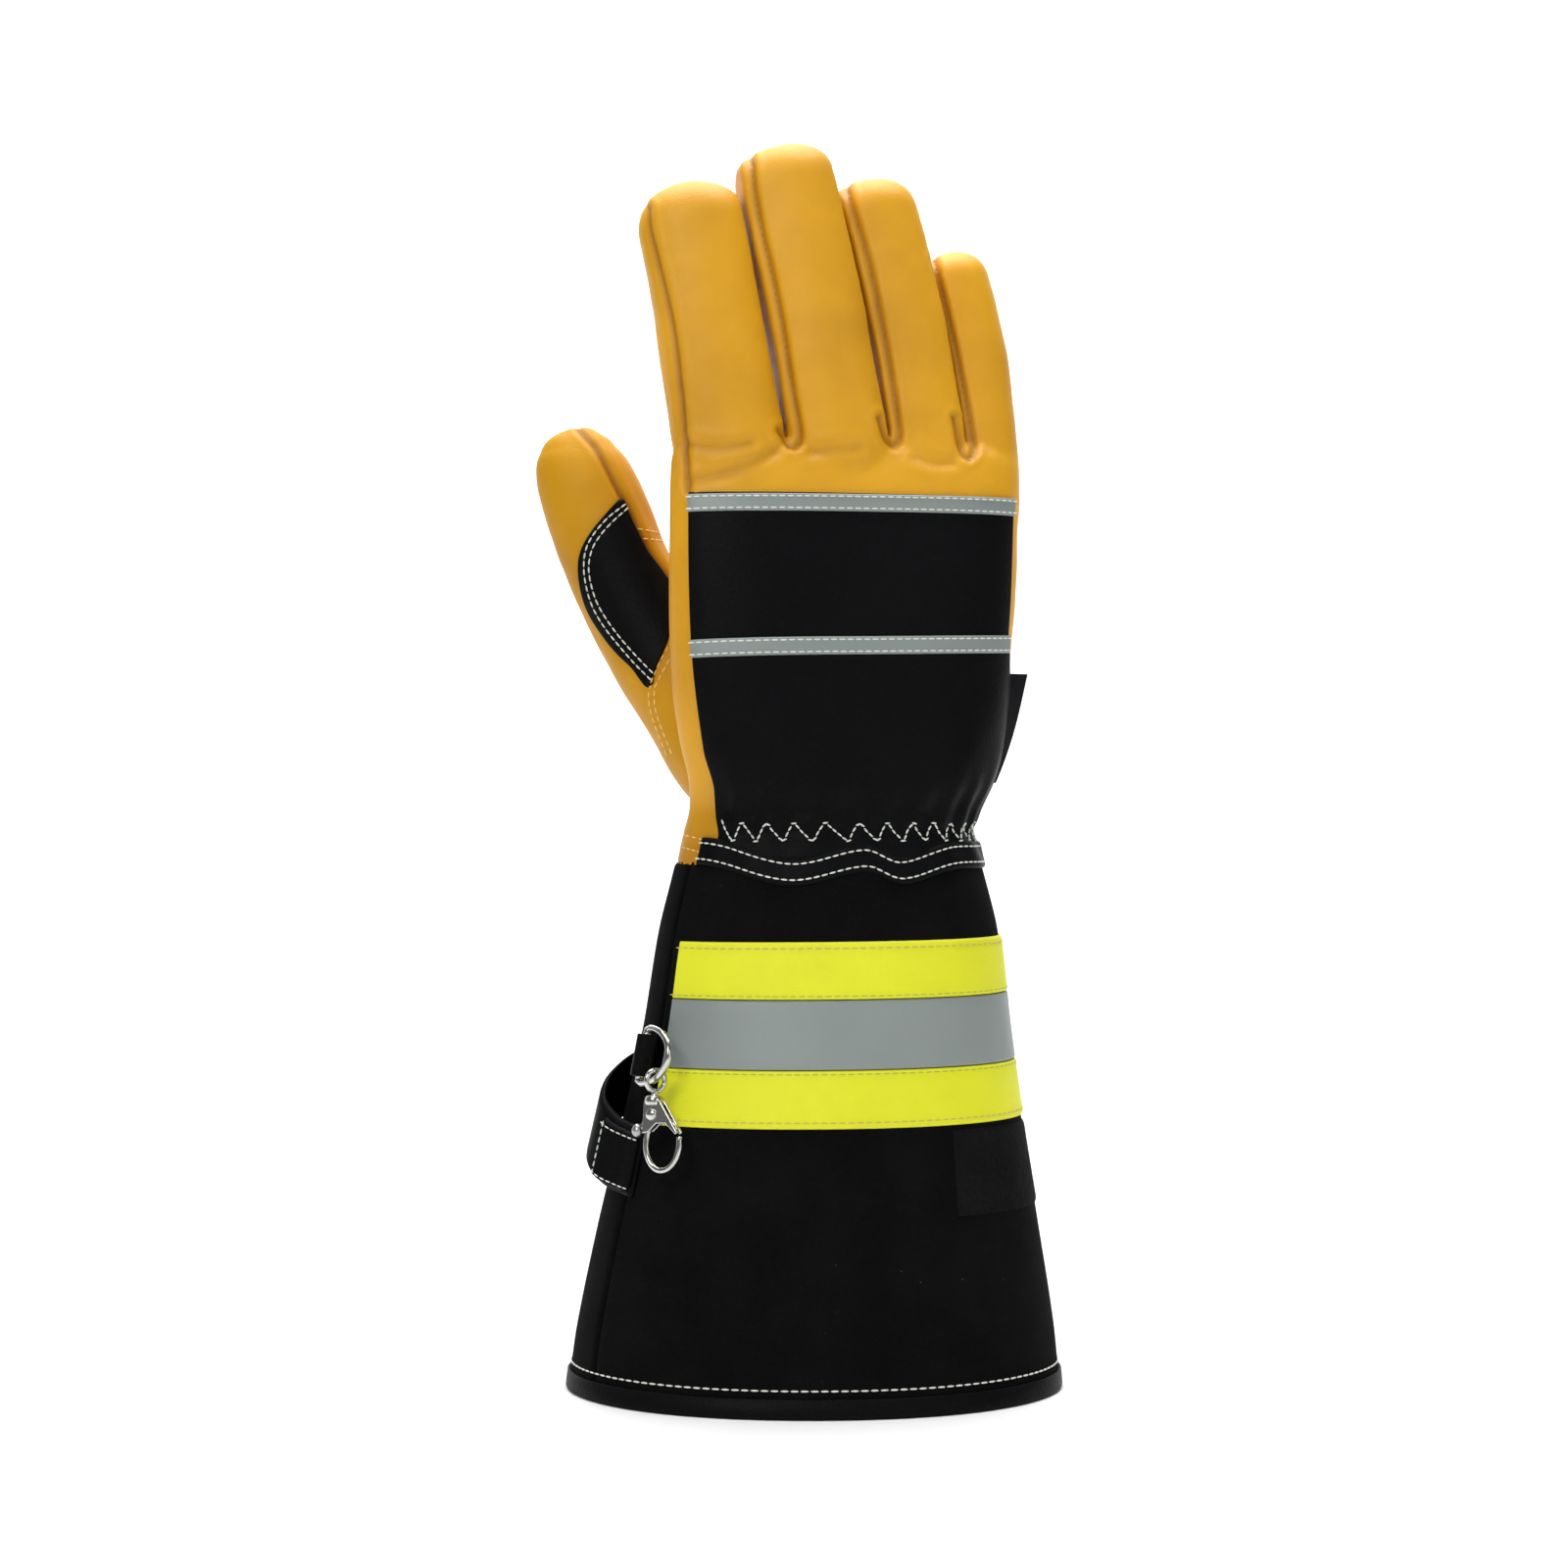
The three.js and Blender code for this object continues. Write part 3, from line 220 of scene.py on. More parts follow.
def body_point(angle, height, out=0.0, gathered=1.0):
    """Points round the glove: angle 0 at the little finger's side, 270 on the back of the hand."""
    left, right, deep, shear, gather, rounding = section(height)
    angle = np.radians(angle)
    half, along = (left + right) / 2, 2 / rounding
    x, y = half * power(np.cos(angle), along), deep * power(np.sin(angle), along)
    nx, ny = power(np.cos(angle), 2 - along) / half, power(np.sin(angle), 2 - along) / deep
    length = (out + gathered * gather * np.sin(GATHERS * angle)) / np.hypot(nx, ny)
    x_out = middle_x + (right - left) / 2 + x + nx * length
    return np.stack(np.broadcast_arrays(x_out, shear * x + y + ny * length, height), axis=-1)


def front_angle(x, height):
    """The angle at which the back of the hand has a given x."""
    left, right, deep, shear, gather, rounding = section(height)
    share = np.clip((x - middle_x - (right - left) / 2) / ((left + right) / 2), -1, 1)
    return 360 - np.degrees(np.arccos(power(share, rounding / 2)))


# root, knuckle and tip are shares of HAND_WIDTH; reach, wide and deep of the three finger
# sizes; back and curl of HAND_DEPTH; crotch of HAND_RISE
FINGER_REACH, FINGER_WIDTH, FINGER_DEPTH = 95.0, 33.0, 29.0
KNUCKLE, ROOT = HAND_TOP + 0.13 * FINGER_REACH, HAND_TOP - 0.29 * HAND_RISE
FINGER_COLUMNS = ("root", "knuckle", "tip", "reach", "wide", "deep", "back", "curl", "crotch")
FINGERS = [dict(zip(FINGER_COLUMNS, row)) for row in (
    (-0.205, -0.265, -0.377, 0.865, 1.04, 1, -0.15, 0.1, 0.979),
    (0.12, 0.045, -0.113, 1, 0.985, 1.02, -0.03, 0.12, 0.979),
    (0.335, 0.284, 0.14, 0.905, 0.86, 0.96, 0.15, 0.12, 0.956),
    (0.478, 0.477, 0.39, 0.675, 0.73, 0.86, 0.35, 0.08, 0.9),
)]
for finger in FINGERS:
    left, right, deep, shear, _, _ = section(ROOT)
    points = np.array([
        (finger["root"] * HAND_WIDTH, shear * (finger["root"] * HAND_WIDTH - (right - left) / 2), ROOT),
        (finger["knuckle"] * HAND_WIDTH, finger["back"] * HAND_DEPTH, KNUCKLE),
        (finger["tip"] * HAND_WIDTH, (finger["back"] + finger["curl"]) * HAND_DEPTH,
         HAND_TOP + finger["reach"] * FINGER_REACH),
    ]) + (middle_x, 0, 0)
    t = np.linalg.norm(points[1] - points[0])
    t = t / (t + np.linalg.norm(points[2] - points[1]))
    bend = (points[1] - (1 - t) ** 2 * points[0] - t ** 2 * points[2]) / (2 * t * (1 - t))
    s = np.linspace(0, 1, 200)[:, None]
    finger["axis"] = (1 - s) ** 2 * points[0] + 2 * s * (1 - s) * bend + s ** 2 * points[2]


def axis_at(finger, height):
    """x and y of a finger's axis at heights, carried on straight past its ends."""
    axis = finger["axis"]
    found = [np.interp(height, axis[:, 2], axis[:, k]) for k in (0, 1)]
    for k in (0, 1):
        end = (axis[-1, k] - axis[-8, k]) / (axis[-1, 2] - axis[-8, 2])
        found[k] = found[k] + np.maximum(np.asarray(height) - axis[-1, 2], 0) * end
    return found


def slit_offset(left_finger, right_finger, points):
    """How far points lie past the slit between two fingers, towards the right one."""
    ax, ay = axis_at(left_finger, points[..., 2])
    bx, by = axis_at(right_finger, points[..., 2])
    share = left_finger["wide"] / (left_finger["wide"] + right_finger["wide"])
    (px, py), (qx, qy) = axis_at(left_finger, KNUCKLE), axis_at(right_finger, KNUCKLE)
    across = np.array([qx - px, qy - py]) / math.hypot(qx - px, qy - py)
    offset = ((points[..., 0] - ax - share * (bx - ax)) * across[0]
              + (points[..., 1] - ay - share * (by - ay)) * across[1])
    return offset, across


def finger_rings(index, sides=56, rings=90, slit=1.05):
    """The rings of one finger, pressed flat against its neighbours above the crotches."""
    finger = FINGERS[index]
    axis = finger["axis"]
    travelled = np.concatenate([[0], np.cumsum(np.linalg.norm(np.diff(axis, axis=0), axis=1))])
    length = travelled[-1]
    half, thick = finger["wide"] * FINGER_WIDTH / 2, finger["deep"] * FINGER_DEPTH / 2
    dome = 0.92 * half
    stations = np.concatenate([np.linspace(0, length - dome, rings - 26),
                               length - dome + dome * np.sin(np.linspace(0.06, math.pi / 2 - 0.02, 26))])
    angle = np.linspace(0, 2 * math.pi, sides, endpoint=False)
    pressed = 1.7 * np.where(np.cos(angle) > 0, index < 3, index > 0)  # width that the slits cut off
    result = []
    for station in stations:
        behind, centre, ahead = (np.array([np.interp(at, travelled, axis[:, k]) for k in range(3)])
                                 for at in (station - 1, station, min(station + 1, length)))
        tangent = (ahead - behind) / np.linalg.norm(ahead - behind)
        across = np.cross((0, 1, 0), tangent)
        across /= np.linalg.norm(across)
        depth = np.cross(tangent, across)
        swell = np.interp(station / (length - dome), [0, 0.22, 0.6, 1], [0.9, 1.04, 1, 0.97])
        t = max((station - length + dome) / dome, 0)
        narrow = math.sqrt(max(1 - t ** 2.3, 0.0004))
        result.append(centre + np.outer(
            (half * min(swell, 1) + pressed) * narrow * power(np.cos(angle), 2 / 2.25), across)
            + np.outer(thick * swell * narrow * power(np.sin(angle), 2 / 2.25), depth))
    points = np.array(result)
    for pair in (index - 1, index):
        if 0 <= pair < 3:
            offset, across = slit_offset(FINGERS[pair], FINGERS[pair + 1], points)
            foot = CUFF_HEIGHT + FINGERS[pair]["crotch"] * HAND_RISE
            open_part = np.clip((points[..., 2] - foot + 1) / 7, 0, 1)
            reach = offset + slit if pair == index else slit - offset
            push = np.maximum(reach, 0) * open_part * (-1 if pair == index else 1)
            points[..., :2] += push[..., None] * across
    return points


def closed_rings(rings):
    """Vertices and faces of a tube over rings, closed at both ends."""
    rows, columns = rings.shape[:2]
    points = np.vstack([rings.reshape(-1, 3), rings[0].mean(axis=0), rings[-1].mean(axis=0)])
    faces = []
    for j in range(rows - 1):
        for i in range(columns):
            after = (i + 1) % columns
            faces.append((j * columns + i, j * columns + after,
                          (j + 1) * columns + after, (j + 1) * columns + i))
    for i in range(columns):
        after = (i + 1) % columns
        faces.append((rows * columns, after, i))
        faces.append((rows * columns + 1, (rows - 1) * columns + i, (rows - 1) * columns + after))
    return points, faces


def joined_tubes(name, tubes, voxel, smoothing):
    """One even skin over closed tubes that run into each other."""
    points, faces = [], []
    for rings in tubes:
        tube_points, tube_faces = closed_rings(rings)
        start = sum(len(part) for part in points)
        points.append(tube_points)
        faces += [tuple(start + corner for corner in face) for face in tube_faces]
    rough = smooth_mesh(name + " rough", np.vstack(points), faces)
    remesh = rough.modifiers.new("remesh", "REMESH")
    remesh.mode = "VOXEL"
    remesh.voxel_size = voxel * 0.001
    smooth = rough.modifiers.new("smooth", "SMOOTH")
    smooth.iterations = smoothing
    bpy.context.view_layer.update()
    skin = bpy.data.meshes.new_from_object(rough.evaluated_get(bpy.context.evaluated_depsgraph_get()))
    bpy.data.objects.remove(rough)
    skin.name = name
    skin.polygons.foreach_set("use_smooth", [True] * len(skin.polygons))
    return linked(name, skin)


def vertices(obj):
    """Points in millimetres and normals of a piece."""
    points, normals = np.empty((2, 3 * len(obj.data.vertices)))
    obj.data.vertices.foreach_get("co", points)
    obj.data.vertex_normals.foreach_get("vector", normals)
    return points.reshape(-1, 3) * 1000, normals.reshape(-1, 3)


def reshape(obj, points, painted_shade):
    """Put a piece's points in new places, and store per point how much shade is painted into its creases."""
    obj.data.vertices.foreach_set("co", (points * 0.001).ravel())
    obj.data.update()
    obj.data.attributes.new("painted_shade", "FLOAT", "POINT").data.foreach_set("value", painted_shade)


def seen(points):
    """x and z at which points are seen from the front, on the plane y = 0."""
    centre = np.array(eye) * 1000
    share = -centre[1] / (points[..., 1] - centre[1])
    return np.stack([centre[0] + (points[..., 0] - centre[0]) * share,
                     centre[2] + (points[..., 2] - centre[2]) * share], axis=-1)


def line_distance(flat, line):
    """Distance of flat points from a line of (x, z) points."""
    best = np.full(flat.shape[:-1], 1e9)
    for a, b in zip(np.array(line[:-1], float), np.array(line[1:], float)):
        along = b - a
        t = np.clip(((flat - a) @ along) / (along @ along), 0, 1)
        best = np.minimum(best, np.linalg.norm(flat - a - t[..., None] * along, axis=-1))
    return best


def soft_line(line, step=2.0):
    """The same line with rounded corners and even steps."""
    line = np.array(line, float)
    for _ in range(3):
        cut = np.stack([0.75 * line[:-1] + 0.25 * line[1:], 0.25 * line[:-1] + 0.75 * line[1:]], axis=1)
        line = np.concatenate([line[:1], cut.reshape(-1, 2), line[-1:]])
    along = np.concatenate([[0], np.cumsum(np.linalg.norm(np.diff(line, axis=0), axis=1))])
    even = np.linspace(0, along[-1], max(int(along[-1] / step), 2))
    return np.stack([np.interp(even, along, line[:, k]) for k in (0, 1)], axis=-1)


def rumple(points, size, seed):
    """Soft random height, from about -1 to 1, that varies over a size."""
    return np.array([noise.noise(Vector(point) / size + Vector((seed, 0, 0))) for point in points]) * 1.6


body_heights = np.linspace(SEWN - 4, HAND_TOP, 70)
body_angles = np.linspace(0, 360, 180, endpoint=False)
body_rings = body_point(body_angles[None, :], body_heights[:, None])
hand = joined_tubes("hand_leather", [body_rings] + [finger_rings(k) for k in range(4)], 0.88, 6)

# Seams on the back of each finger and of the hand, as seen from the front.
SEAMS = [
    [(-47.3, 372.3), (-47.3, 367.3), (-44.2, 354.9), (-41.1, 342.2), (-39.0, 331.1), (-37.7, 321.8),
     (-35.6, 301.9), (-34.9, 290.1), (-34.6, 282.7)],
    [(-15.1, 389.0), (-12.6, 369.2), (-8.6, 353.4), (-4.6, 333.5), (-2.4, 317.7), (1.0, 301.9),
     (0.7, 297.6), (-1.5, 295.7), (-3.9, 297.6), (-6.1, 301.9)],
    [(15.0, 380.3), (16.8, 373.5), (19.3, 366.1), (24.0, 349.3), (28.0, 327.3), (32.0, 303.5),
     (32.3, 299.1), (30.5, 296.6), (28.0, 298.5), (26.1, 305.9)],
    [(43.2, 355.2), (47.8, 337.6), (51.9, 317.7), (55.3, 299.7), (55.9, 294.8), (54.0, 292.3),
     (51.5, 294.8), (49.7, 305.9)],
]
CREASES = [
    [(-34.0, 285.5), (-24.4, 288.0), (-15.1, 291.1), (-6.7, 295.1)],
    [(-35.3, 297.9), (-26.0, 296.0), (-15.1, 297.9)],
    [(4.4, 294.8), (11.2, 296.3), (19.0, 296.6)],
    [(37.6, 293.5), (43.8, 291.1), (49.1, 291.7)],
]
points, normals = vertices(hand)
facing = np.clip(-normals[:, 1] * 1.6 + 0.25, 0, 1) * (points[:, 2] > SEWN)  # 1 towards the camera
flat = seen(points)
# Painted shade: how much the leather's colour is darkened at each point, in the seam grooves and the knuckle
# folds.
painted_shade = np.zeros(len(points))
height = 0.45 * rumple(points, 26, 3) + 0.14 * rumple(points, 9, 7)
for seam in SEAMS:
    away = line_distance(flat, soft_line(seam))
    groove, welt = np.exp(-(away / 1.0) ** 2), np.exp(-((away - 2.6) / 1.2) ** 2)
    height += facing * (-0.95 * groove + 0.35 * welt)
    painted_shade = np.maximum(painted_shade, 0.75 * facing * groove)
for fold in CREASES:
    away = line_distance(flat, soft_line(fold))
    height += facing * (-0.45 * np.exp(-(away / 1.6) ** 2) + 0.3 * np.exp(-((away - 3.4) / 2) ** 2))
    painted_shade = np.maximum(painted_shade, 0.25 * facing * np.exp(-(away / 1.6) ** 2))
for k in range(3):
    offset, across = slit_offset(FINGERS[k], FINGERS[k + 1], points)
    inside = np.exp(-(offset / 2.4) ** 2) * (points[:, 2] > HAND_TOP - 6)
    height = np.where(facing < 0.5, height - inside * np.maximum(height, 0), height)
points += normals * height[:, None]
# Painted shade: the leather is also darkened below 188 mm, more towards the wrist.
reshape(hand, points, np.maximum(painted_shade, 0.6 * np.clip((188 - points[:, 2]) / 24, 0, 1)))


def leather(name, light, dark, roughness, grain=0.25, pores=1500, worn=0.35, shine=0.35):
    """Grained leather: two close tones in soft patches, fine grain, and painted shade where a piece's points
    carry it, in seam grooves, folds and near the wrist.
    """
    material, add = new_material(name)
    place = add("ShaderNodeTexCoord").outputs["Object"]
    patches = add("ShaderNodeTexNoise", {"Scale": 26, "Detail": 3, "Vector": place})
    fine = add("ShaderNodeTexNoise", {"Scale": 900, "Detail": 4, "Vector": place})
    cells = add("ShaderNodeTexVoronoi", {"Scale": pores, "Detail": 0, "Vector": place})
    span = add("ShaderNodeMapRange", {"From Min": 0.35, "From Max": 0.7, "Value": patches.outputs["Fac"]})
    # Painted shade: a per-point attribute darkens the leather towards its dark tone in creases, on top of the
    # random tone patches.
    painted_shade_input = add("ShaderNodeAttribute", attribute_name="painted_shade")
    tone_and_shade = add("ShaderNodeMath", {0: span.outputs["Result"], 1: worn, 2: painted_shade_input.outputs["Fac"]},
                 operation="MULTIPLY_ADD", use_clamp=True)
    tones = add("ShaderNodeMix", {"A": (*light, 1), "B": (*dark, 1), "Factor": tone_and_shade.outputs["Value"]},
                data_type="RGBA")
    total = add("ShaderNodeMath", {0: cells.outputs["Distance"], 1: 0.5, 2: fine.outputs["Fac"]},
                operation="MULTIPLY_ADD")
    bump = add("ShaderNodeBump", {"Strength": grain, "Distance": 0.0004, "Height": total.outputs["Value"]})
    add("Principled BSDF", {"Base Color": tones.outputs["Result"], "Normal": bump.outputs["Normal"],
                            "Roughness": roughness, "Specular IOR Level": shine})
    return material


def piece(obj, material, slot, *nodes, body="glove"):
    """A piece of the glove that stands for some CAD nodes."""
    obj.data.materials.clear()
    obj.data.materials.append(material)
    if nodes:
        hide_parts(*nodes)
    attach(obj, body)
    return obj


yellow_leather = leather("yellow leather", (0.68, 0.335, 0.006), (0.33, 0.13, 0.002), 0.5, 0.22)
piece(hand, yellow_leather, "yellow_leather", "palm_shell", "finger_backs", "fourchette_index_middle",
      "fourchette_middle_ring", "fourchette_ring_little")


# Thumb: a yellow leather tube sewn into the palm, with a seam along its back. Its leather is a
# little darker than the hand's: partly its own hide, partly painted shade for the thumb lying further back.
THUMB_REACH, THUMB_WIDTH = 129.0, 34.0
# row, then shares: x of HAND_WIDTH, y of HAND_DEPTH, up of THUMB_REACH, wide and deep of THUMB_WIDTH
THUMB_ROWS = [
    (0, -0.218, 0.08, 0.08, 0.7, 0.82),
    (1, -0.28, 0.18, 0.17, 0.87, 0.97),
    (2, -0.35, 0.28, 0.28, 0.91, 1.03),
    (3, -0.459, 0.4, 0.453, 0.99, 1.03),
    (4, -0.552, 0.46, 0.612, 1, 1.01),
    (5, -0.628, 0.48, 0.769, 0.99, 0.97),
    (6, -0.683, 0.485, 0.89, 0.88, 0.86),
    (7, -0.7, 0.49, 0.95, 0.7, 0.66),
    (8, -0.708, 0.495, 0.985, 0.45, 0.42),
    (9, -0.712, 0.5, 1, 0.16, 0.14),
]


def thumb_point(angle, row, out=0.0):
    """Points on the thumb: angle 0 faces the front and grows towards the hand."""
    angle, row = np.broadcast_arrays(np.radians(angle), np.asarray(row, float))

    def centre(at):
        return np.stack([middle_x + HAND_WIDTH * read(THUMB_ROWS, 1, at),
                         HAND_DEPTH * read(THUMB_ROWS, 2, at),
                         CUFF_HEIGHT + THUMB_REACH * read(THUMB_ROWS, 3, at)], axis=-1)

    tangent = centre(np.minimum(row + 0.05, 9)) - centre(np.maximum(row - 0.05, 0))
    tangent /= np.linalg.norm(tangent, axis=-1, keepdims=True)
    across = np.cross(np.broadcast_to((0.0, 1.0, 0.0), tangent.shape), tangent)
    across /= np.linalg.norm(across, axis=-1, keepdims=True)
    depth = np.cross(tangent, across)
    wide = THUMB_WIDTH / 2 * read(THUMB_ROWS, 4, row) + out
    deep = THUMB_WIDTH / 2 * read(THUMB_ROWS, 5, row) + out
    return (centre(row) + (wide * power(np.sin(angle), 2 / 2.1))[..., None] * across
            - (deep * power(np.cos(angle), 2 / 2.1))[..., None] * depth)


thumb_rows = np.concatenate([np.linspace(0, 6, 60), 6 + 3 * np.sin(np.linspace(0.05, math.pi / 2, 26))])
thumb = joined_tubes("thumb_leather", [thumb_point(np.linspace(0, 360, 90, endpoint=False)[None, :],
                                                   thumb_rows[:, None])[:, ::-1]], 0.8, 5)
THUMB_SEAM = [(-69.4, 302.8), (-63.8, 296.9), (-60.1, 289.5), (-56.0, 281.4), (-52.9, 276.2),
              (-48.9, 267.5), (-44.9, 261.0), (-40.2, 255.1)]
points, normals = vertices(thumb)
flat = seen(points)
facing = np.clip(-normals[:, 1] * 1.6 + 0.25, 0, 1)
away = line_distance(flat, soft_line(THUMB_SEAM))
groove = np.exp(-(away / 1.0) ** 2) * facing
height = 0.4 * rumple(points, 20, 11) + 0.12 * rumple(points, 7, 5) - 0.9 * groove
height += 0.35 * facing * np.exp(-((away - 2.6) / 1.2) ** 2)
points += normals * height[:, None]
# Painted shade: the thumb's leather is darkened along its seam groove.
reshape(thumb, points, groove)
# Painted shade: the thumb's leather is a darker copy of the hand's yellow leather, partly shade for the thumb
# lying further back and partly a different hide.
thumb_leather = leather("thumb leather", (0.54, 0.262, 0.004), (0.26, 0.102, 0.002), 0.55, 0.22, shine=0.2)
piece(thumb, thumb_leather, "yellow_leather", "thumb_shell")


# Wear patch: smooth black leather, D-shaped, laid on the back of the thumb along its seam and
# sewn on with two rows of white thread.
def sewn_sheet(name, place, length, height, thickness, columns, rows, base=0.0, edge=None):
    """A closed sheet with rolled edges: place(u, v, out) gives its points for u, v from 0 to 1."""
    edge = edge or thickness

    def stations(size, count):
        near = np.array([0, 0.1, 0.35, 0.7, 1]) * min(edge / size, 0.4)
        return np.concatenate([near[:-1], np.linspace(near[-1], 1 - near[-1], count), 1 - near[:-1][::-1]])

    v, u = np.meshgrid(stations(height, rows), stations(length, columns), indexing="ij")
    inside = np.minimum(np.minimum(u, 1 - u) * length, np.minimum(v, 1 - v) * height)
    roll = np.sqrt(np.clip(1 - (1 - np.clip(inside / edge, 0, 1)) ** 2, 0, 1))
    outer, inner = place(u, v, base + thickness * roll), place(u, v, np.full(u.shape, float(base)))
    uv = np.stack([u * length, v * height], axis=-1).reshape(-1, 2)
    rim = np.zeros(u.shape, bool)
    rim[[0, -1], :] = rim[:, [0, -1]] = True
    upper = np.arange(u.size).reshape(u.shape)
    lower = np.where(rim, upper, u.size + upper)
    faces = []
    for j in range(u.shape[0] - 1):
        for i in range(u.shape[1] - 1):
            faces.append((upper[j, i], upper[j, i + 1], upper[j + 1, i + 1], upper[j + 1, i]))
            faces.append((lower[j + 1, i], lower[j + 1, i + 1], lower[j, i + 1], lower[j, i]))
    used = sorted({corner for face in faces for corner in face})
    renumber = {old: new for new, old in enumerate(used)}
    points = np.vstack([outer.reshape(-1, 3), inner.reshape(-1, 3)])[used]
    faces = [tuple(renumber[corner] for corner in face) for face in faces]
    return smooth_mesh(name, points, faces, np.vstack([uv, uv])[used])


def thread_rows(name, rows, pitch, length, width, material, body="glove"):
    """Rows of stitches along lines of points in millimetres."""
    points, edges = [], []
    for row in rows:
        start = len(points)
        points += [tuple(float(value) * 0.001 for value in point) for point in row]
        edges += [(start + k, start + k + 1) for k in range(len(row) - 1)]
    mesh = bpy.data.meshes.new(name)
    mesh.from_pydata(points, edges, [])
    lines = linked(name + " lines", mesh)
    group = bpy.data.node_groups.new(name, "GeometryNodeTree")
    for way in ("INPUT", "OUTPUT"):
        group.interface.new_socket("Geometry", in_out=way, socket_type="NodeSocketGeometry")
    add = node_maker(group)
    curve = add("GeometryNodeMeshToCurve", {"Mesh": add("NodeGroupInput").outputs["Geometry"]})
    even = add("GeometryNodeResampleCurve", {"Curve": curve.outputs["Curve"], "Length": pitch * 0.001},
               mode="LENGTH")
    tangent = add("GeometryNodeInputTangent").outputs["Tangent"]
    turn = add("FunctionNodeAlignRotationToVector", {"Vector": tangent}, axis="Z")
    stitch = add("GeometryNodeMeshUVSphere", {"Segments": 8, "Rings": 6, "Radius": 0.5})
    place = add("GeometryNodeInstanceOnPoints", {
        "Points": even.outputs["Curve"], "Rotation": turn.outputs["Rotation"],
        "Instance": stitch.outputs["Mesh"], "Scale": (width * 0.001, width * 0.001, length * 0.001)})
    whole = add("GeometryNodeRealizeInstances", {"Geometry": place.outputs["Instances"]})
    smooth = add("GeometryNodeSetShadeSmooth", {"Geometry": whole.outputs["Geometry"]})
    paint = add("GeometryNodeSetMaterial", {"Geometry": smooth.outputs["Geometry"], "Material": material})
    add("NodeGroupOutput", {"Geometry": paint.outputs["Geometry"]})
    lines.modifiers.new("stitches", "NODES").node_group = group
    bpy.context.view_layer.update()
    mesh = bpy.data.meshes.new_from_object(lines.evaluated_get(bpy.context.evaluated_depsgraph_get()))
    bpy.data.objects.remove(lines)
    obj = linked(name, mesh)
    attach(obj, body)
    return obj


def surface_of(*objs):
    """Trees of pieces, in millimetres, for on_surface."""
    return [BVHTree.FromPolygons([vertex.co * 1000 for vertex in obj.data.vertices],
                                 [tuple(face.vertices) for face in obj.data.polygons]) for obj in objs]


def on_surface(line, trees, lift=0.1):
    """A line of (x, z) as seen from the front, laid on the nearest of some pieces."""
    centre = eye * 1000
    laid = []
    for x, z in soft_line(line, 1.0):
        way = (Vector((x, 0, z)) - centre).normalized()
        hits = [tree.ray_cast(centre, way) for tree in trees]
        hits = [hit for hit in hits if hit[0] is not None]
        if hits:
            laid.append(min(hits, key=lambda hit: hit[3])[0] - way * lift)
    return laid


# row of the thumb, and the angles round it between which the patch lies
PATCH_ROWS = [
    (2.43, -30, -22), (2.55, -32, -12), (2.75, -35, 8), (3.0, -43, 27), (3.35, -51, 50),
    (3.8, -56, 46), (4.2, -48, 38), (4.55, -32, 35), (4.85, -4, 33), (5.12, 28, 33),
]


def patch_place(u, v, out):
    row = PATCH_ROWS[0][0] + (PATCH_ROWS[-1][0] - PATCH_ROWS[0][0]) * v
    start, end = read(PATCH_ROWS, 1, row), read(PATCH_ROWS, 2, row)
    return thumb_point(start + u * (end - start), row, out)


patch = sewn_sheet("thumb_patch", patch_place, 34, 59, 1.4, 40, 64, base=0.0)
black_leather = leather("black leather", (0.0036, 0.0038, 0.0044), (0.0018, 0.0018, 0.0022), 0.46,
                        grain=0.35, pores=1300, worn=0.5, shine=0.05)
piece(patch, black_leather, "black_leather", "thumb_patch")
white_thread = plain_material("white thread", (0.66, 0.7, 0.62), 0.6)
yellow_thread = plain_material("yellow thread", (0.8, 0.55, 0.18), 0.6)
thumb_trees, thumb_side = surface_of(thumb, patch, hand), surface_of(thumb, patch)
thread_rows("patch_stitches", [
    on_surface([(-55.1, 278.0), (-60.1, 274.3), (-64.4, 269.4), (-67.2, 264.4), (-67.8, 258.2),
                (-66.9, 252.0), (-65.0, 245.8), (-61.3, 239.6), (-56.3, 233.4), (-51.4, 227.8),
                (-47.0, 223.5)], thumb_side),
    on_surface([(-54.2, 276.8), (-58.5, 273.1), (-62.5, 268.7), (-65.3, 264.1), (-66.3, 258.2),
                (-65.3, 252.6), (-63.5, 247.0), (-59.7, 240.8), (-55.1, 234.9), (-50.1, 229.4),
                (-46.4, 225.7)], thumb_side),
], 2.6, 2.2, 0.55, white_thread)
thread_rows("thumb_stitches", [
    on_surface([(-49.8, 270.6), (-44.6, 269.7), (-40.2, 268.4)], thumb_side),
    on_surface([(-48.0, 267.5), (-44.6, 267.2), (-40.2, 266.6)], thumb_side),
    on_surface([(-40.2, 234.9), (-43.6, 228.8), (-46.1, 222.9)], thumb_side)
    + on_surface([(-46.4, 221.9), (-47.3, 218.5), (-46.7, 213.6), (-45.2, 208.6), (-41.8, 199.9)],
                 thumb_trees),
    on_surface([(-39.6, 230.9), (-42.4, 226.0), (-44.9, 221.0)], thumb_side)
    + on_surface([(-45.2, 220.1), (-45.5, 217.3), (-44.9, 212.9), (-43.3, 208.3), (-40.2, 200.5)],
                 thumb_trees),
], 2.6, 2.1, 0.55, yellow_thread)
thread_rows("finger_seam_stitches", [on_surface(seam[:6], thumb_trees, 0.0) for seam in SEAMS[1:]],
            2.4, 1.3, 0.35, plain_material("brown thread", (0.3, 0.14, 0.01), 0.7))


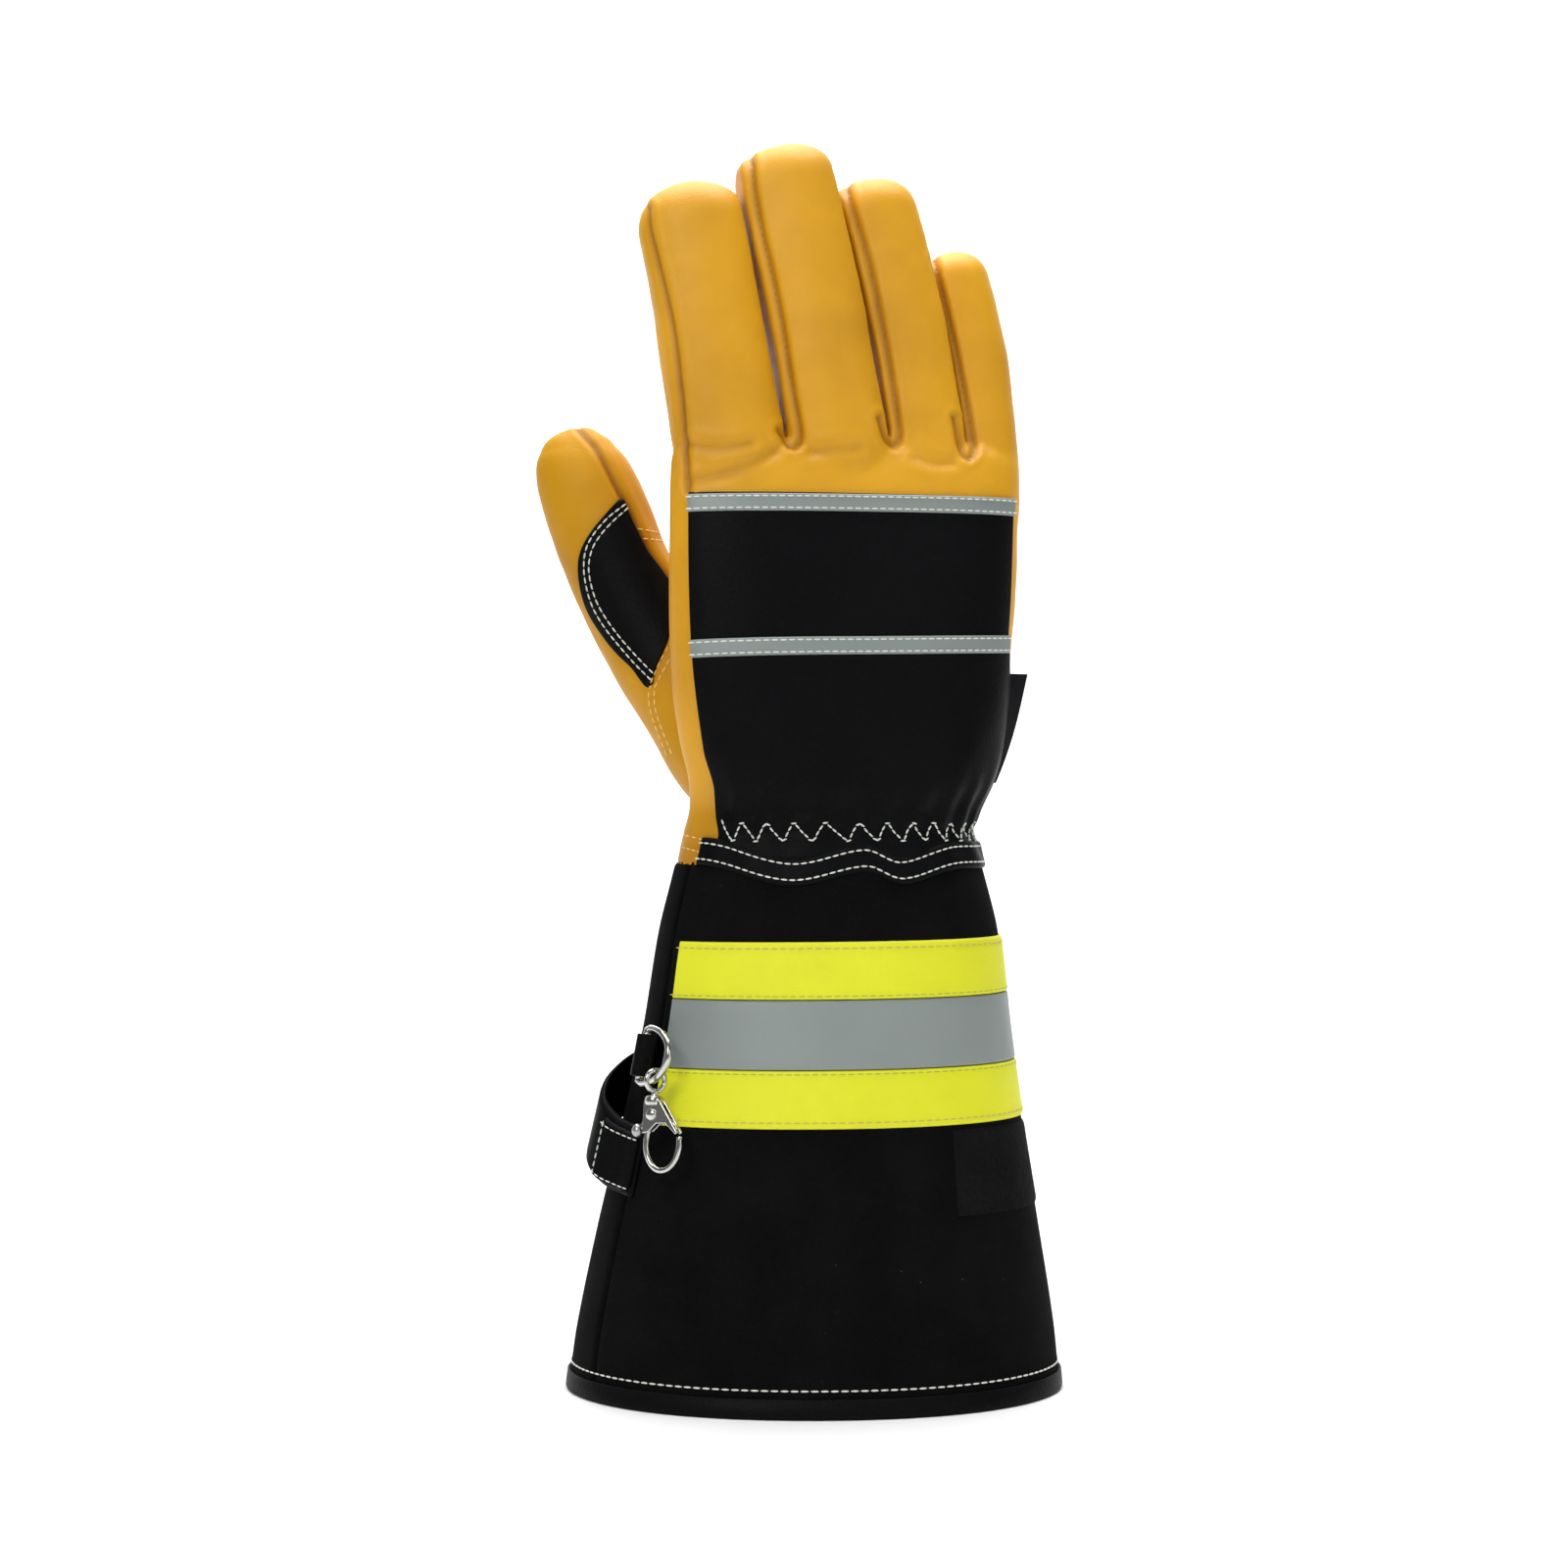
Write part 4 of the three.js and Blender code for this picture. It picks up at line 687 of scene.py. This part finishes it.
# Back panel: one piece of smooth black leather from the knuckles to the gathered wrist, sewn
# to the yellow leather at both sides. Near the wrist its edge turns round the little finger's side.
PANEL_SEAM = [(-0.1, -0.277), (0.1, -0.28), (0.2, -0.312), (0.5, -0.347), (1, -0.356)]
PANEL_TOP = CUFF_HEIGHT + 0.863 * HAND_RISE
PANEL_WRAP = [(196, 214, 238), (18, 8, 0)]  # heights, and degrees that it turns round the side there


def panel_angles(height):
    """The angles at which the panel's two side seams run."""
    left = middle_x + HAND_WIDTH * read(PANEL_SEAM, 1, (height - CUFF_HEIGHT) / HAND_RISE)
    inset = 0.3 + 2.1 * np.clip((np.asarray(height) - 214) / 22, 0, 1)
    right = middle_x + section(height)[1] - inset
    return front_angle(left, height), front_angle(right, height)


def gathers(angle, height):
    """Folds that rise from the elastic at the wrist and fade upwards."""
    above = np.clip((height - 178) / 34, 0, 1)
    fade = np.exp(-((height - 181) / 9.0) ** 2)
    wander = 0.35 * np.sin(np.radians(angle * 3.1 + height * 2.3))
    folds = np.sin(np.radians(angle * 22) + wander * 3) * fade * 1.0
    broad = np.sin(np.radians(angle * 8.3 - height * 1.6)) * np.exp(-((height - 194) / 13.0) ** 2) * 1.5
    pull = -1.2 * np.exp(-((height - 174.5) / 2.6) ** 2)
    return folds + broad * (1 - 0.4 * above) + pull


def over_gathers(angle, height, out):
    """Points that lie on the panel's gathers."""
    return body_point(angle, height, out + 0.6 * gathers(angle, height), 0.4)


def panel_place(u, v, out):
    height = SEWN + v * (PANEL_TOP - SEWN)
    left, right = panel_angles(height)
    right = right + np.interp(height, *PANEL_WRAP)
    angle = left + u * (right - left)
    return over_gathers(angle, height, out)


panel = sewn_sheet("back_panel", panel_place, 104, 114, 1.5, 150, 170, base=-0.4)
piece(panel, black_leather, "black_leather", "back_panel")

# The yellow leather under the panel, and below the seam with the cuff, is cut away.
points, normals = vertices(hand)
x, up = points[:, 0], points[:, 2]
keep_left = middle_x + HAND_WIDTH * read(PANEL_SEAM, 1, (up - CUFF_HEIGHT) / HAND_RISE) + 3
keep_right = middle_x + section(up)[1] - np.interp(up, (198, 214, 238), (0.5, 2.5, 6))
covered = (up < PANEL_TOP - 3) & (up > SEWN) & (x > keep_left) & (x < keep_right) & (normals[:, 1] < -0.05)
open_foot = up < SEWN - 1.4
cut = bmesh.new()
cut.from_mesh(hand.data)
cut.verts.ensure_lookup_table()
bmesh.ops.delete(cut, geom=[cut.verts[k] for k in np.nonzero(covered | open_foot)[0]], context="VERTS")
cut.to_mesh(hand.data)
cut.free()


# Reflective strips: two narrow grey strips of coated cloth across the panel, each sewn down
# with a row of white thread along both edges.
def cloth(name, color, roughness, weave, depth=0.15, metallic=0.0, shine=0.5):
    """Woven cloth that reads the piece's own cloth coordinates, in metres."""
    material, add = new_material(name)
    place = add("ShaderNodeUVMap", uv_map="cloth").outputs["UV"]
    warp, weft = (add("ShaderNodeTexWave", {"Scale": weave, "Vector": place}, bands_direction=way)
                  for way in ("X", "Y"))
    both = add("ShaderNodeMath", {0: warp.outputs["Fac"], 1: weft.outputs["Fac"]}, operation="ADD")
    bump = add("ShaderNodeBump", {"Strength": depth, "Distance": 0.0002, "Height": both.outputs["Value"]})
    where = add("ShaderNodeTexCoord").outputs["Object"]
    soft = add("ShaderNodeTexNoise", {"Scale": 40, "Vector": where})
    tones = add("ShaderNodeMix", {"A": (*[value * 0.86 for value in color], 1), "B": (*color, 1),
                                  "Factor": soft.outputs["Fac"]}, data_type="RGBA")
    add("Principled BSDF", {"Base Color": tones.outputs["Result"], "Normal": bump.outputs["Normal"],
                            "Roughness": roughness, "Metallic": metallic, "Specular IOR Level": shine})
    return material


silver_cloth = cloth("silver reflective cloth", (0.25, 0.285, 0.275), 0.5, 700, 0.12, 0.15)


def strip_place(middle, rise):
    def place(u, v, out):
        height = middle + (v - 0.5) * 5.6 + rise * (u - 0.5)
        left, right = panel_angles(height)
        angle = left + 0.9 + u * (right - left - 1.8)
        return over_gathers(angle, height, out)
    return place


for name, middle, rise in (("upper", PANEL_TOP - 3.2, 0.8),
                           ("lower", CUFF_HEIGHT + 0.47 * HAND_RISE, 2.6)):
    place = strip_place(middle, rise)
    strip = sewn_sheet(f"{name}_strip", place, 100, 5.6, 0.7, 60, 4, base=1.1)
    piece(strip, silver_cloth, "silver_tape", f"strip_{name}")
    u = np.linspace(0.012, 0.988, 200)
    rows = [place(u, np.full(u.shape, share), np.full(u.shape, 1.95)) for share in (0.17, 0.83)]
    thread_rows(f"{name}_strip_stitches", rows, 2.6, 2.2, 0.5, white_thread)


# Wrist: zigzag stitching that holds the elastic under the gathers, and below it a smooth band
# of black leather, sewn on with two rows and waved by the elastic.
zigzag = []
for k, share in enumerate(np.linspace(0.035, 0.985, 24)):
    height = 178.2 if k % 2 == 0 else 172.2
    left, right = panel_angles(height)
    zigzag.append((left + share * (right - left), height))
dense = []
for (a, b), (c, d) in zip(zigzag[:-1], zigzag[1:]):
    t = np.linspace(0, 1, 12, endpoint=False)
    dense.append(np.stack([a + t * (c - a), b + t * (d - b)], axis=-1))
dense = np.vstack(dense)
thread_rows("elastic_stitches", [over_gathers(dense[:, 0], dense[:, 1], 1.35)], 2.0, 1.8, 0.6, white_thread)


# x and height of the band's lower row
BAND_WAVE = [(-40, 166.6), (-26.8, 166.6), (-1.9, 160.6), (21, 164.8), (31.1, 161), (47.7, 165.4),
             (62, 165.4)]
BAND_HEIGHT = 8.6


def band_place(u, v, out):
    angle = 213 + 149 * u
    across = body_point(angle, np.full(np.shape(angle), 166.0))[..., 0]
    height = read(BAND_WAVE, 1, across) - 2 + BAND_HEIGHT * v
    return body_point(angle, height, out + 0.35 * np.sin(np.radians(angle * 15 + 60 * v)) * (0.3 + v), 0.6)


band = sewn_sheet("wrist_band", band_place, 120, BAND_HEIGHT, 1.3, 140, 12, base=0.2)
piece(band, black_leather, "black_leather", "wrist_band")
u = np.linspace(0.01, 0.99, 260)
thread_rows("palm_seam_stitches", [on_surface(row, thumb_trees) for row in (
    [(-35.9, 173.9), (-28.4, 172.0)], [(-37.1, 170.2), (-29.4, 168.0)])], 2.6, 2.1, 0.5, yellow_thread)
thread_rows("wrist_band_stitches", [band_place(u, np.full(u.shape, v), np.full(u.shape, 1.65))
                                    for v in (0.23, 0.8)], 2.5, 2.1, 0.55, white_thread)


# Gauntlet: black suede in two halves that meet at the side seams, sewn under the hand and open
# at the foot. Its nap is clouded, with a few light fibres.
suede, add = new_material("black suede")
place = add("ShaderNodeTexCoord").outputs["Object"]
nap = add("ShaderNodeTexNoise", {"Scale": 1400, "Detail": 6, "Vector": place})
cloud = add("ShaderNodeTexNoise", {"Scale": 60, "Detail": 5, "Vector": place})
fibres = add("ShaderNodeTexVoronoi", {"Scale": 260, "Vector": place})
tones = add("ShaderNodeMix", {"A": (0.0016, 0.0016, 0.0018, 1), "B": (0.0055, 0.0055, 0.006, 1),
                              "Factor": cloud.outputs["Fac"]}, data_type="RGBA")
speck = add("ShaderNodeMapRange", {"From Min": 0.075, "From Max": 0.045, "Value": fibres.outputs["Distance"]})
rare = add("ShaderNodeMapRange", {"From Min": 0.6, "From Max": 0.66, "Value": cloud.outputs["Fac"]})
few = add("ShaderNodeMath", {0: speck.outputs["Result"], 1: rare.outputs["Result"]}, operation="MULTIPLY")
light = add("ShaderNodeMix", {"A": tones.outputs["Result"], "B": (0.05, 0.05, 0.052, 1),
                              "Factor": few.outputs["Value"]}, data_type="RGBA")
bump = add("ShaderNodeBump", {"Strength": 0.5, "Distance": 0.0005, "Height": nap.outputs["Fac"]})
add("Principled BSDF", {"Base Color": light.outputs["Result"], "Normal": bump.outputs["Normal"],
                        "Roughness": 0.95, "Specular IOR Level": 0.05})
CUFF_FOOT, CUFF_TOP = 1.6, SEWN - 0.3


def cuff_wave(angle, height):
    """Slow waves of the hanging suede."""
    sway = np.sin(np.radians(angle * 2 + 40)) * 0.5 + np.sin(np.radians(angle * 5 + height * 1.2)) * 0.25
    return sway * np.clip((80 - height) / 60, 0, 1)


def on_cuff(angle, height, out):
    return body_point(angle, height, out + cuff_wave(angle, height))


def half_place(left, right):
    def place(u, v, out):
        height = CUFF_FOOT + v * (CUFF_TOP - CUFF_FOOT)
        angle = left + 0.2 + u * (right - left - 0.4)
        return on_cuff(angle, height, out)
    return place


for name, left, right in (("gauntlet_back", 207, 368), ("gauntlet_palm", 8, 207)):
    half = sewn_sheet(name + "_suede", half_place(left, right), 210, 164, 2.1, 110, 70, base=-1.9)
    piece(half, suede, "black_suede", name)


# Hi-vis band: a yellow, a silver and a yellow tape, woven and coated, sewn edge to edge round
# the back of the gauntlet.
hi_vis = cloth("hi-vis yellow cloth", (0.76, 0.77, 0.006), 0.6, 420, 0.2)
TAPE_LINES = [85.0, 102.6, 123.8, 141.4]


def tape_place(low, high):
    def place(u, v, out):
        angle = 213 + 153 * u
        height = low + v * (high - low) + 1.2 * u
        return on_cuff(angle, height, out)
    return place


TAPES = (("lower", hi_vis, "hi_vis_yellow"), ("silver", silver_cloth, "silver_tape"),
         ("upper", hi_vis, "hi_vis_yellow"))
for k, (name, material, slot) in enumerate(TAPES):
    low_edge, high_edge = TAPE_LINES[k] + 0.05, TAPE_LINES[k + 1] - 0.05
    tape = sewn_sheet(name + "_tape", tape_place(low_edge, high_edge), 160, high_edge - low_edge, 0.9, 90, 8,
                      base=0.2)
    piece(tape, material, slot, "tape_" + name)
u = np.linspace(0.004, 0.996, 300)
band_span = TAPE_LINES[3] - TAPE_LINES[0]
band_line = tape_place(TAPE_LINES[0], TAPE_LINES[3])


def tape_rows(shares):
    return [band_line(u, np.full(u.shape, share), np.full(u.shape, 1.2)) for share in shares]


thread_rows("tape_stitches", tape_rows((2 / band_span, 1 - 2 / band_span)), 2.7, 2.3, 0.45,
            plain_material("straw thread", (0.5, 0.42, 0.1), 0.6))
thread_rows("tape_seam_stitches", tape_rows([(TAPE_LINES[k] - TAPE_LINES[0]) / band_span + s
                                             for k, s in ((1, -0.02), (2, 0.02))]), 2.7, 2.3, 0.4,
            plain_material("lime thread", (0.42, 0.45, 0.05), 0.6))


# Loop pad: a fuzzy black pad of hook-and-loop tape below the band, sewn on near the little
# finger's side seam.
def pad_place(u, v, out):
    return on_cuff(308 + 56 * u, 58.4 + 26 * v, out)


pad = sewn_sheet("loop_pad", pad_place, 62, 26, 0.8, 60, 26, base=0.1, edge=2.2)
pile = leather("loop pile", (0.0055, 0.0055, 0.006), (0.002, 0.002, 0.0022), 0.98,
               grain=1.0, pores=420, worn=0.9, shine=0.1)
piece(pad, pile, "loop_pile", "loop_pad")


# Hem binding: a strip of black leather folded round the foot of the suede. One row of white
# thread runs just above it.
def binding_profile():
    """Out and height of a U-shaped fold with rounded lower corners."""
    bend, turns = 1.4, np.linspace(0.2, 1.37, 6)
    shape = [(1.3, 6.0), (1.3, bend)]
    shape += [(1.3 - bend + bend * math.cos(a), bend - bend * math.sin(a)) for a in turns]
    shape += [(-0.1, 0.0), (-2.5, 0.0)]
    shape += [(-2.5 - bend * math.sin(a), bend - bend * math.cos(a)) for a in turns]
    return shape + [(-3.9, bend), (-3.9, 6.0), (-3.6, 6.2), (-2.7, 6.0), (-2.6, 1.6), (0.3, 1.6),
                    (0.35, 6.0), (0.9, 6.2)]


around = np.linspace(0, 360, 240, endpoint=False)
rings = np.stack([on_cuff(around, np.full(around.shape, height), out)
                  for out, height in binding_profile()], axis=1)
fold = grid_mesh("hem_binding", np.concatenate([rings, rings[:1]]), closed=True)
piece(fold, black_leather, "black_leather", "hem_binding")
around = np.linspace(0, 360, 500)
thread_rows("hem_stitches", [on_cuff(around, np.full(around.shape, 8.6), 0.45)], 3.0, 2.5, 0.6, white_thread)


# Label: a folded tab of woven black ribbon held in the little finger's side seam. It is blank.
def label_place(u, v, out):
    height = CUFF_HEIGHT + 0.125 * HAND_RISE + 34 * v
    root = body_point(np.full(u.shape, 352.0), height, 0.5)
    curl = 1.5 * np.sin(math.pi * v) * u
    return root + np.stack([u * 9 * (0.3 + 0.38 * v), u * 5 + out + curl, -1.0 * (1 - v) * u], axis=-1)


label = sewn_sheet("label_tab", label_place, 9, 34, 1.2, 10, 30)
woven = cloth("black woven label", (0.005, 0.005, 0.0065), 0.8, 900, 0.4, shine=0.1)
piece(label, woven, "woven_label", "label_tab")


# Adjuster strap: a black leather loop that stands off the thumb side of the cuff. Its flap lies
# on the loop's front end and is sewn down on three sides.
STRAP_LEVEL, STRAP_STAND_OFF, STRAP_WIDTH = 85.0, 7.8, 21.0
# share along the strap, angle round the cuff, level of STRAP_LEVEL, off of STRAP_STAND_OFF
STRAP_ROWS = [
    (0, 166, 1.12, 0.06), (0.2, 175, 1.09, 0.4), (0.4, 184, 1.03, 0.88), (0.58, 192, 0.96, 1),
    (0.76, 200, 0.9, 0.62), (0.9, 207, 0.87, 0.16), (1, 212, 0.86, 0.06),
]


def strap_place(along, across, out):
    height = STRAP_LEVEL * read(STRAP_ROWS, 2, along) + across
    return body_point(read(STRAP_ROWS, 1, along), height,
                      0.3 + STRAP_STAND_OFF * read(STRAP_ROWS, 3, along) + out)


def flap_place(u, v, out):
    """The flap narrows towards its free end."""
    wide = 18 - 5 * np.clip((u - 0.8) / 0.2, 0, 1) ** 2
    return strap_place(0.715 + 0.285 * u, (v - 0.5) * wide, out)


loop = sewn_sheet("strap_loop", lambda u, v, out: strap_place(u, (v - 0.5) * STRAP_WIDTH, out),
                  54, STRAP_WIDTH, 1.8, 70, 16)
piece(loop, black_leather, "black_leather", "strap_loop")
flap = sewn_sheet("strap_flap", flap_place, 20, 18, 1.8, 34, 16, base=2.1)
piece(flap, black_leather, "black_leather", "strap_flap")
t = np.linspace(0, 1, 60)
along = 0.725 + 0.265 * t
edge_rows = [strap_place(*(np.broadcast_to(part, t.shape) for part in row))
             for row in ((along, 7.4, 3.95), (along, -7.4, 3.95), (0.73, -7.4 + 14.8 * t, 3.95))]
thread_rows("strap_stitches", edge_rows, 2.3, 1.9, 0.45, white_thread)


# D-ring tab: black leather folded round the ring's straight side and sewn to the cuff.
joints = {joint["name"]: joint for joint in frame["joints"]}
bar = Vector(joints["d_ring_swing"]["pos_m"]) * 1000
bar_up = -Vector(joints["d_ring_swing"]["axis"]).normalized()
bar_tangent = Vector((0.6757, -0.7372, 0)).normalized()
bar_out = bar_tangent.cross(bar_up).normalized()


def tab_profile():
    """Across and out of the tab's section, round the bar and back along the cuff."""
    shape = [(-10, -8.8), (-4, -7.7), (-2.4, -7.2)]
    shape += [(2.95 * math.cos(a), 2.95 * math.sin(a)) for a in np.radians(np.linspace(-52, 140, 22))]
    return shape + [(-5.5, -3.7), (-8, -5.0), (-10, -6.0)]


rows = []
for level, inset in ((-6.5, 0.5), (-6.2, 0.1), (-5.8, 0), (5.8, 0), (6.2, 0.1), (6.5, 0.5)):
    rows.append([tuple(bar + bar_tangent * (x * (1 - 0.05 * inset))
                       + bar_out * (y - inset * 0.3 * np.sign(y + 4)) + bar_up * level)
                 for x, y in tab_profile()])
tab = smooth_mesh("ring_tab_leather", *closed_rings(np.array(rows)[:, ::-1]))
piece(tab, black_leather, "black_leather", "ring_tab")


# D-ring: polished nickel wire, bent to a D. Its straight side turns in the leather tab.
nickel = plain_material("polished nickel", (0.52, 0.52, 0.5), 0.17, 1.0)


def bent_wire(name, path, flat_normal, radius, closed, sides=20):
    """A round wire along points; radius is one value or one per point."""
    path = [Vector(point) for point in path]
    radius = np.broadcast_to(radius, (len(path),))
    rings = []
    for k, point in enumerate(path):
        before = path[k - 1] if closed or k else point
        after = path[(k + 1) % len(path)] if closed else path[min(k + 1, len(path) - 1)]
        side = (after - before).normalized().cross(flat_normal).normalized()
        rings.append([tuple(point + (side * math.cos(a) + flat_normal * math.sin(a)) * float(radius[k]))
                      for a in np.linspace(0, 2 * math.pi, sides, endpoint=False)])
    rings = np.array(rings)
    if closed:
        return grid_mesh(name, np.concatenate([rings, rings[:1]]), closed=True)
    return smooth_mesh(name, *closed_rings(rings))


ring_out = Vector((0.5398, -0.8412, 0.0308)).normalized()
ring_normal = ring_out.cross(bar_up).normalized()
path = [bar + ring_out * (15 * math.sin(math.radians(a)) ** 0.85) + bar_up * (8.5 * math.cos(math.radians(a)))
        for a in np.linspace(5, 175, 56)]
path += [bar + bar_up * (8.5 * share) for share in np.linspace(-0.93, 0.93, 24)]
ring = bent_wire("d_ring", path, ring_normal, 1.15, True)
piece(ring, nickel, "nickel", "d_ring", body="ring")

hook_origin = Vector(joints["hook_swivel"]["pos_m"]) * 1000
hook_up = Vector(joints["hook_swivel"]["axis"]).normalized()
hook_front = Vector(joints["gate_pivot"]["axis"]).normalized()
hook_across = hook_front.cross(hook_up).normalized()


def hooked(x, y, z):
    """A point of the hook, across, through and up from the middle of its eye."""
    return hook_origin + hook_across * x + hook_front * y + hook_up * z


# Eye: a small nickel ring on the D-ring, with a headed shank that turns in the hook's collar.
angle = math.radians(32.69 + 30)
eye_across = (Matrix.Rotation(angle, 3, hook_up) @ hook_across).normalized()
eye_normal = hook_up.cross(eye_across).normalized()
path = [hook_origin + (eye_across * math.cos(a) + hook_up * math.sin(a)) * 3.2
        for a in np.linspace(0, 2 * math.pi, 40, endpoint=False)]
eye_ring = bent_wire("hook_eye", path, eye_normal, 0.8, True, 14)
shank = bent_wire("hook_shank", [hook_origin + hook_up * z for z in (-2.6, -3.6, -5.8, -5.9, -6.5, -6.6)],
                  hook_front, [0.95, 0.95, 0.95, 1.7, 1.7, 1.5], False)
piece(eye_ring, nickel, "nickel", "hook_eye", body="ring")
piece(shank, nickel, "nickel", body="ring")


# Hook: one nickel casting with a collar round the eye's shank, two cheeks and a round loop.
def plate_piece(name, outline, thickness, middle=0.0, bevel=0.5):
    """A flat plate in the hook's plane with rounded edges."""
    points, faces = [], []
    for side in (-1, 1):
        points += [tuple(hooked(x, middle + side * thickness / 2, z)) for x, z in outline]
    count = len(outline)
    faces.append(tuple(range(count)))
    faces.append(tuple(range(2 * count - 1, count - 1, -1)))
    for k in range(count):
        after = (k + 1) % count
        faces.append((after, k, count + k, count + after))
    obj = smooth_mesh(name, points, faces)
    rounding = obj.modifiers.new("rounding", "BEVEL")
    rounding.width = bevel * 0.001
    rounding.segments = 3
    rounding.harden_normals = True
    return obj


cheek_outline = [(-2.7, -6.2), (-2.2, -5.4), (2.4, -5.4), (3.2, -6.2), (6.6, -10.8), (9.9, -15.3),
                 (9.2, -15.9), (5.4, -12.8), (2.2, -13), (-0.4, -15.6), (-2.7, -16.2)]
body_pieces = [plate_piece("hook_cheek", cheek_outline, 0.9, side * 1.35, 0.35) for side in (-1, 1)]
body_pieces.append(bent_wire("hook_collar", [hooked(0, 0, z) for z in (-4.4, -4.6, -5.2, -6.9, -7.4, -7.6)],
                             hook_front, [1.6, 2.4, 2.8, 2.9, 2.6, 1.6], False, 24))
loop_path = [hooked(4 + 5.9 * math.cos(a), 0, -18.8 + 8.2 * math.sin(a))
             for a in np.radians(np.linspace(148, 376, 46))]
body_pieces.append(bent_wire("hook_loop", loop_path, hook_front, 0.95, False, 18))
piece(body_pieces[0], nickel, "nickel", "hook_body", body="hook")
for part in body_pieces[1:]:
    piece(part, nickel, "nickel", body="hook")

# Gate: a flat sprung lever that closes the hook, with a ball for the thumb.
gate_outline = [(-1.1, -9.3), (1.3, -8.9), (8.6, -13.1), (9.2, -14.4), (7.9, -14.5), (1.5, -11.6),
                (-0.6, -11.7), (-4, -15.4), (-5.1, -14.6)]
gate = plate_piece("hook_gate", gate_outline, 1.2, 0.0, 0.3)
piece(gate, nickel, "nickel", "hook_gate", body="gate")
turns = np.linspace(-1.5, 1.5, 16)
ball = bent_wire("gate_thumb_piece", [hooked(-5.3, 0, -15.4 + 2.1 * math.sin(a)) for a in turns],
                 hook_front, [1.8 * math.cos(a) for a in turns], False, 20)
piece(ball, plain_material("dull steel", (0.4, 0.4, 0.4), 0.35, 1.0), "nickel", body="gate")

# Rivet: the gate's pin with two domed heads.
head = [(0.8, 1.8), (1.9, 1.85), (1.8, 2.2), (1.3, 2.6), (0.5, 2.8), (0.05, 2.82)]
path = [(-y, r) for r, y in reversed(head)] + [(y, r) for r, y in head]
rivet = bent_wire("hook_rivet", [hooked(0.3, y, -10.2) for y, _ in path], hook_up,
                  [r for _, r in path], False, 20)
piece(rivet, nickel, "nickel", "hook_rivet", body="hook")
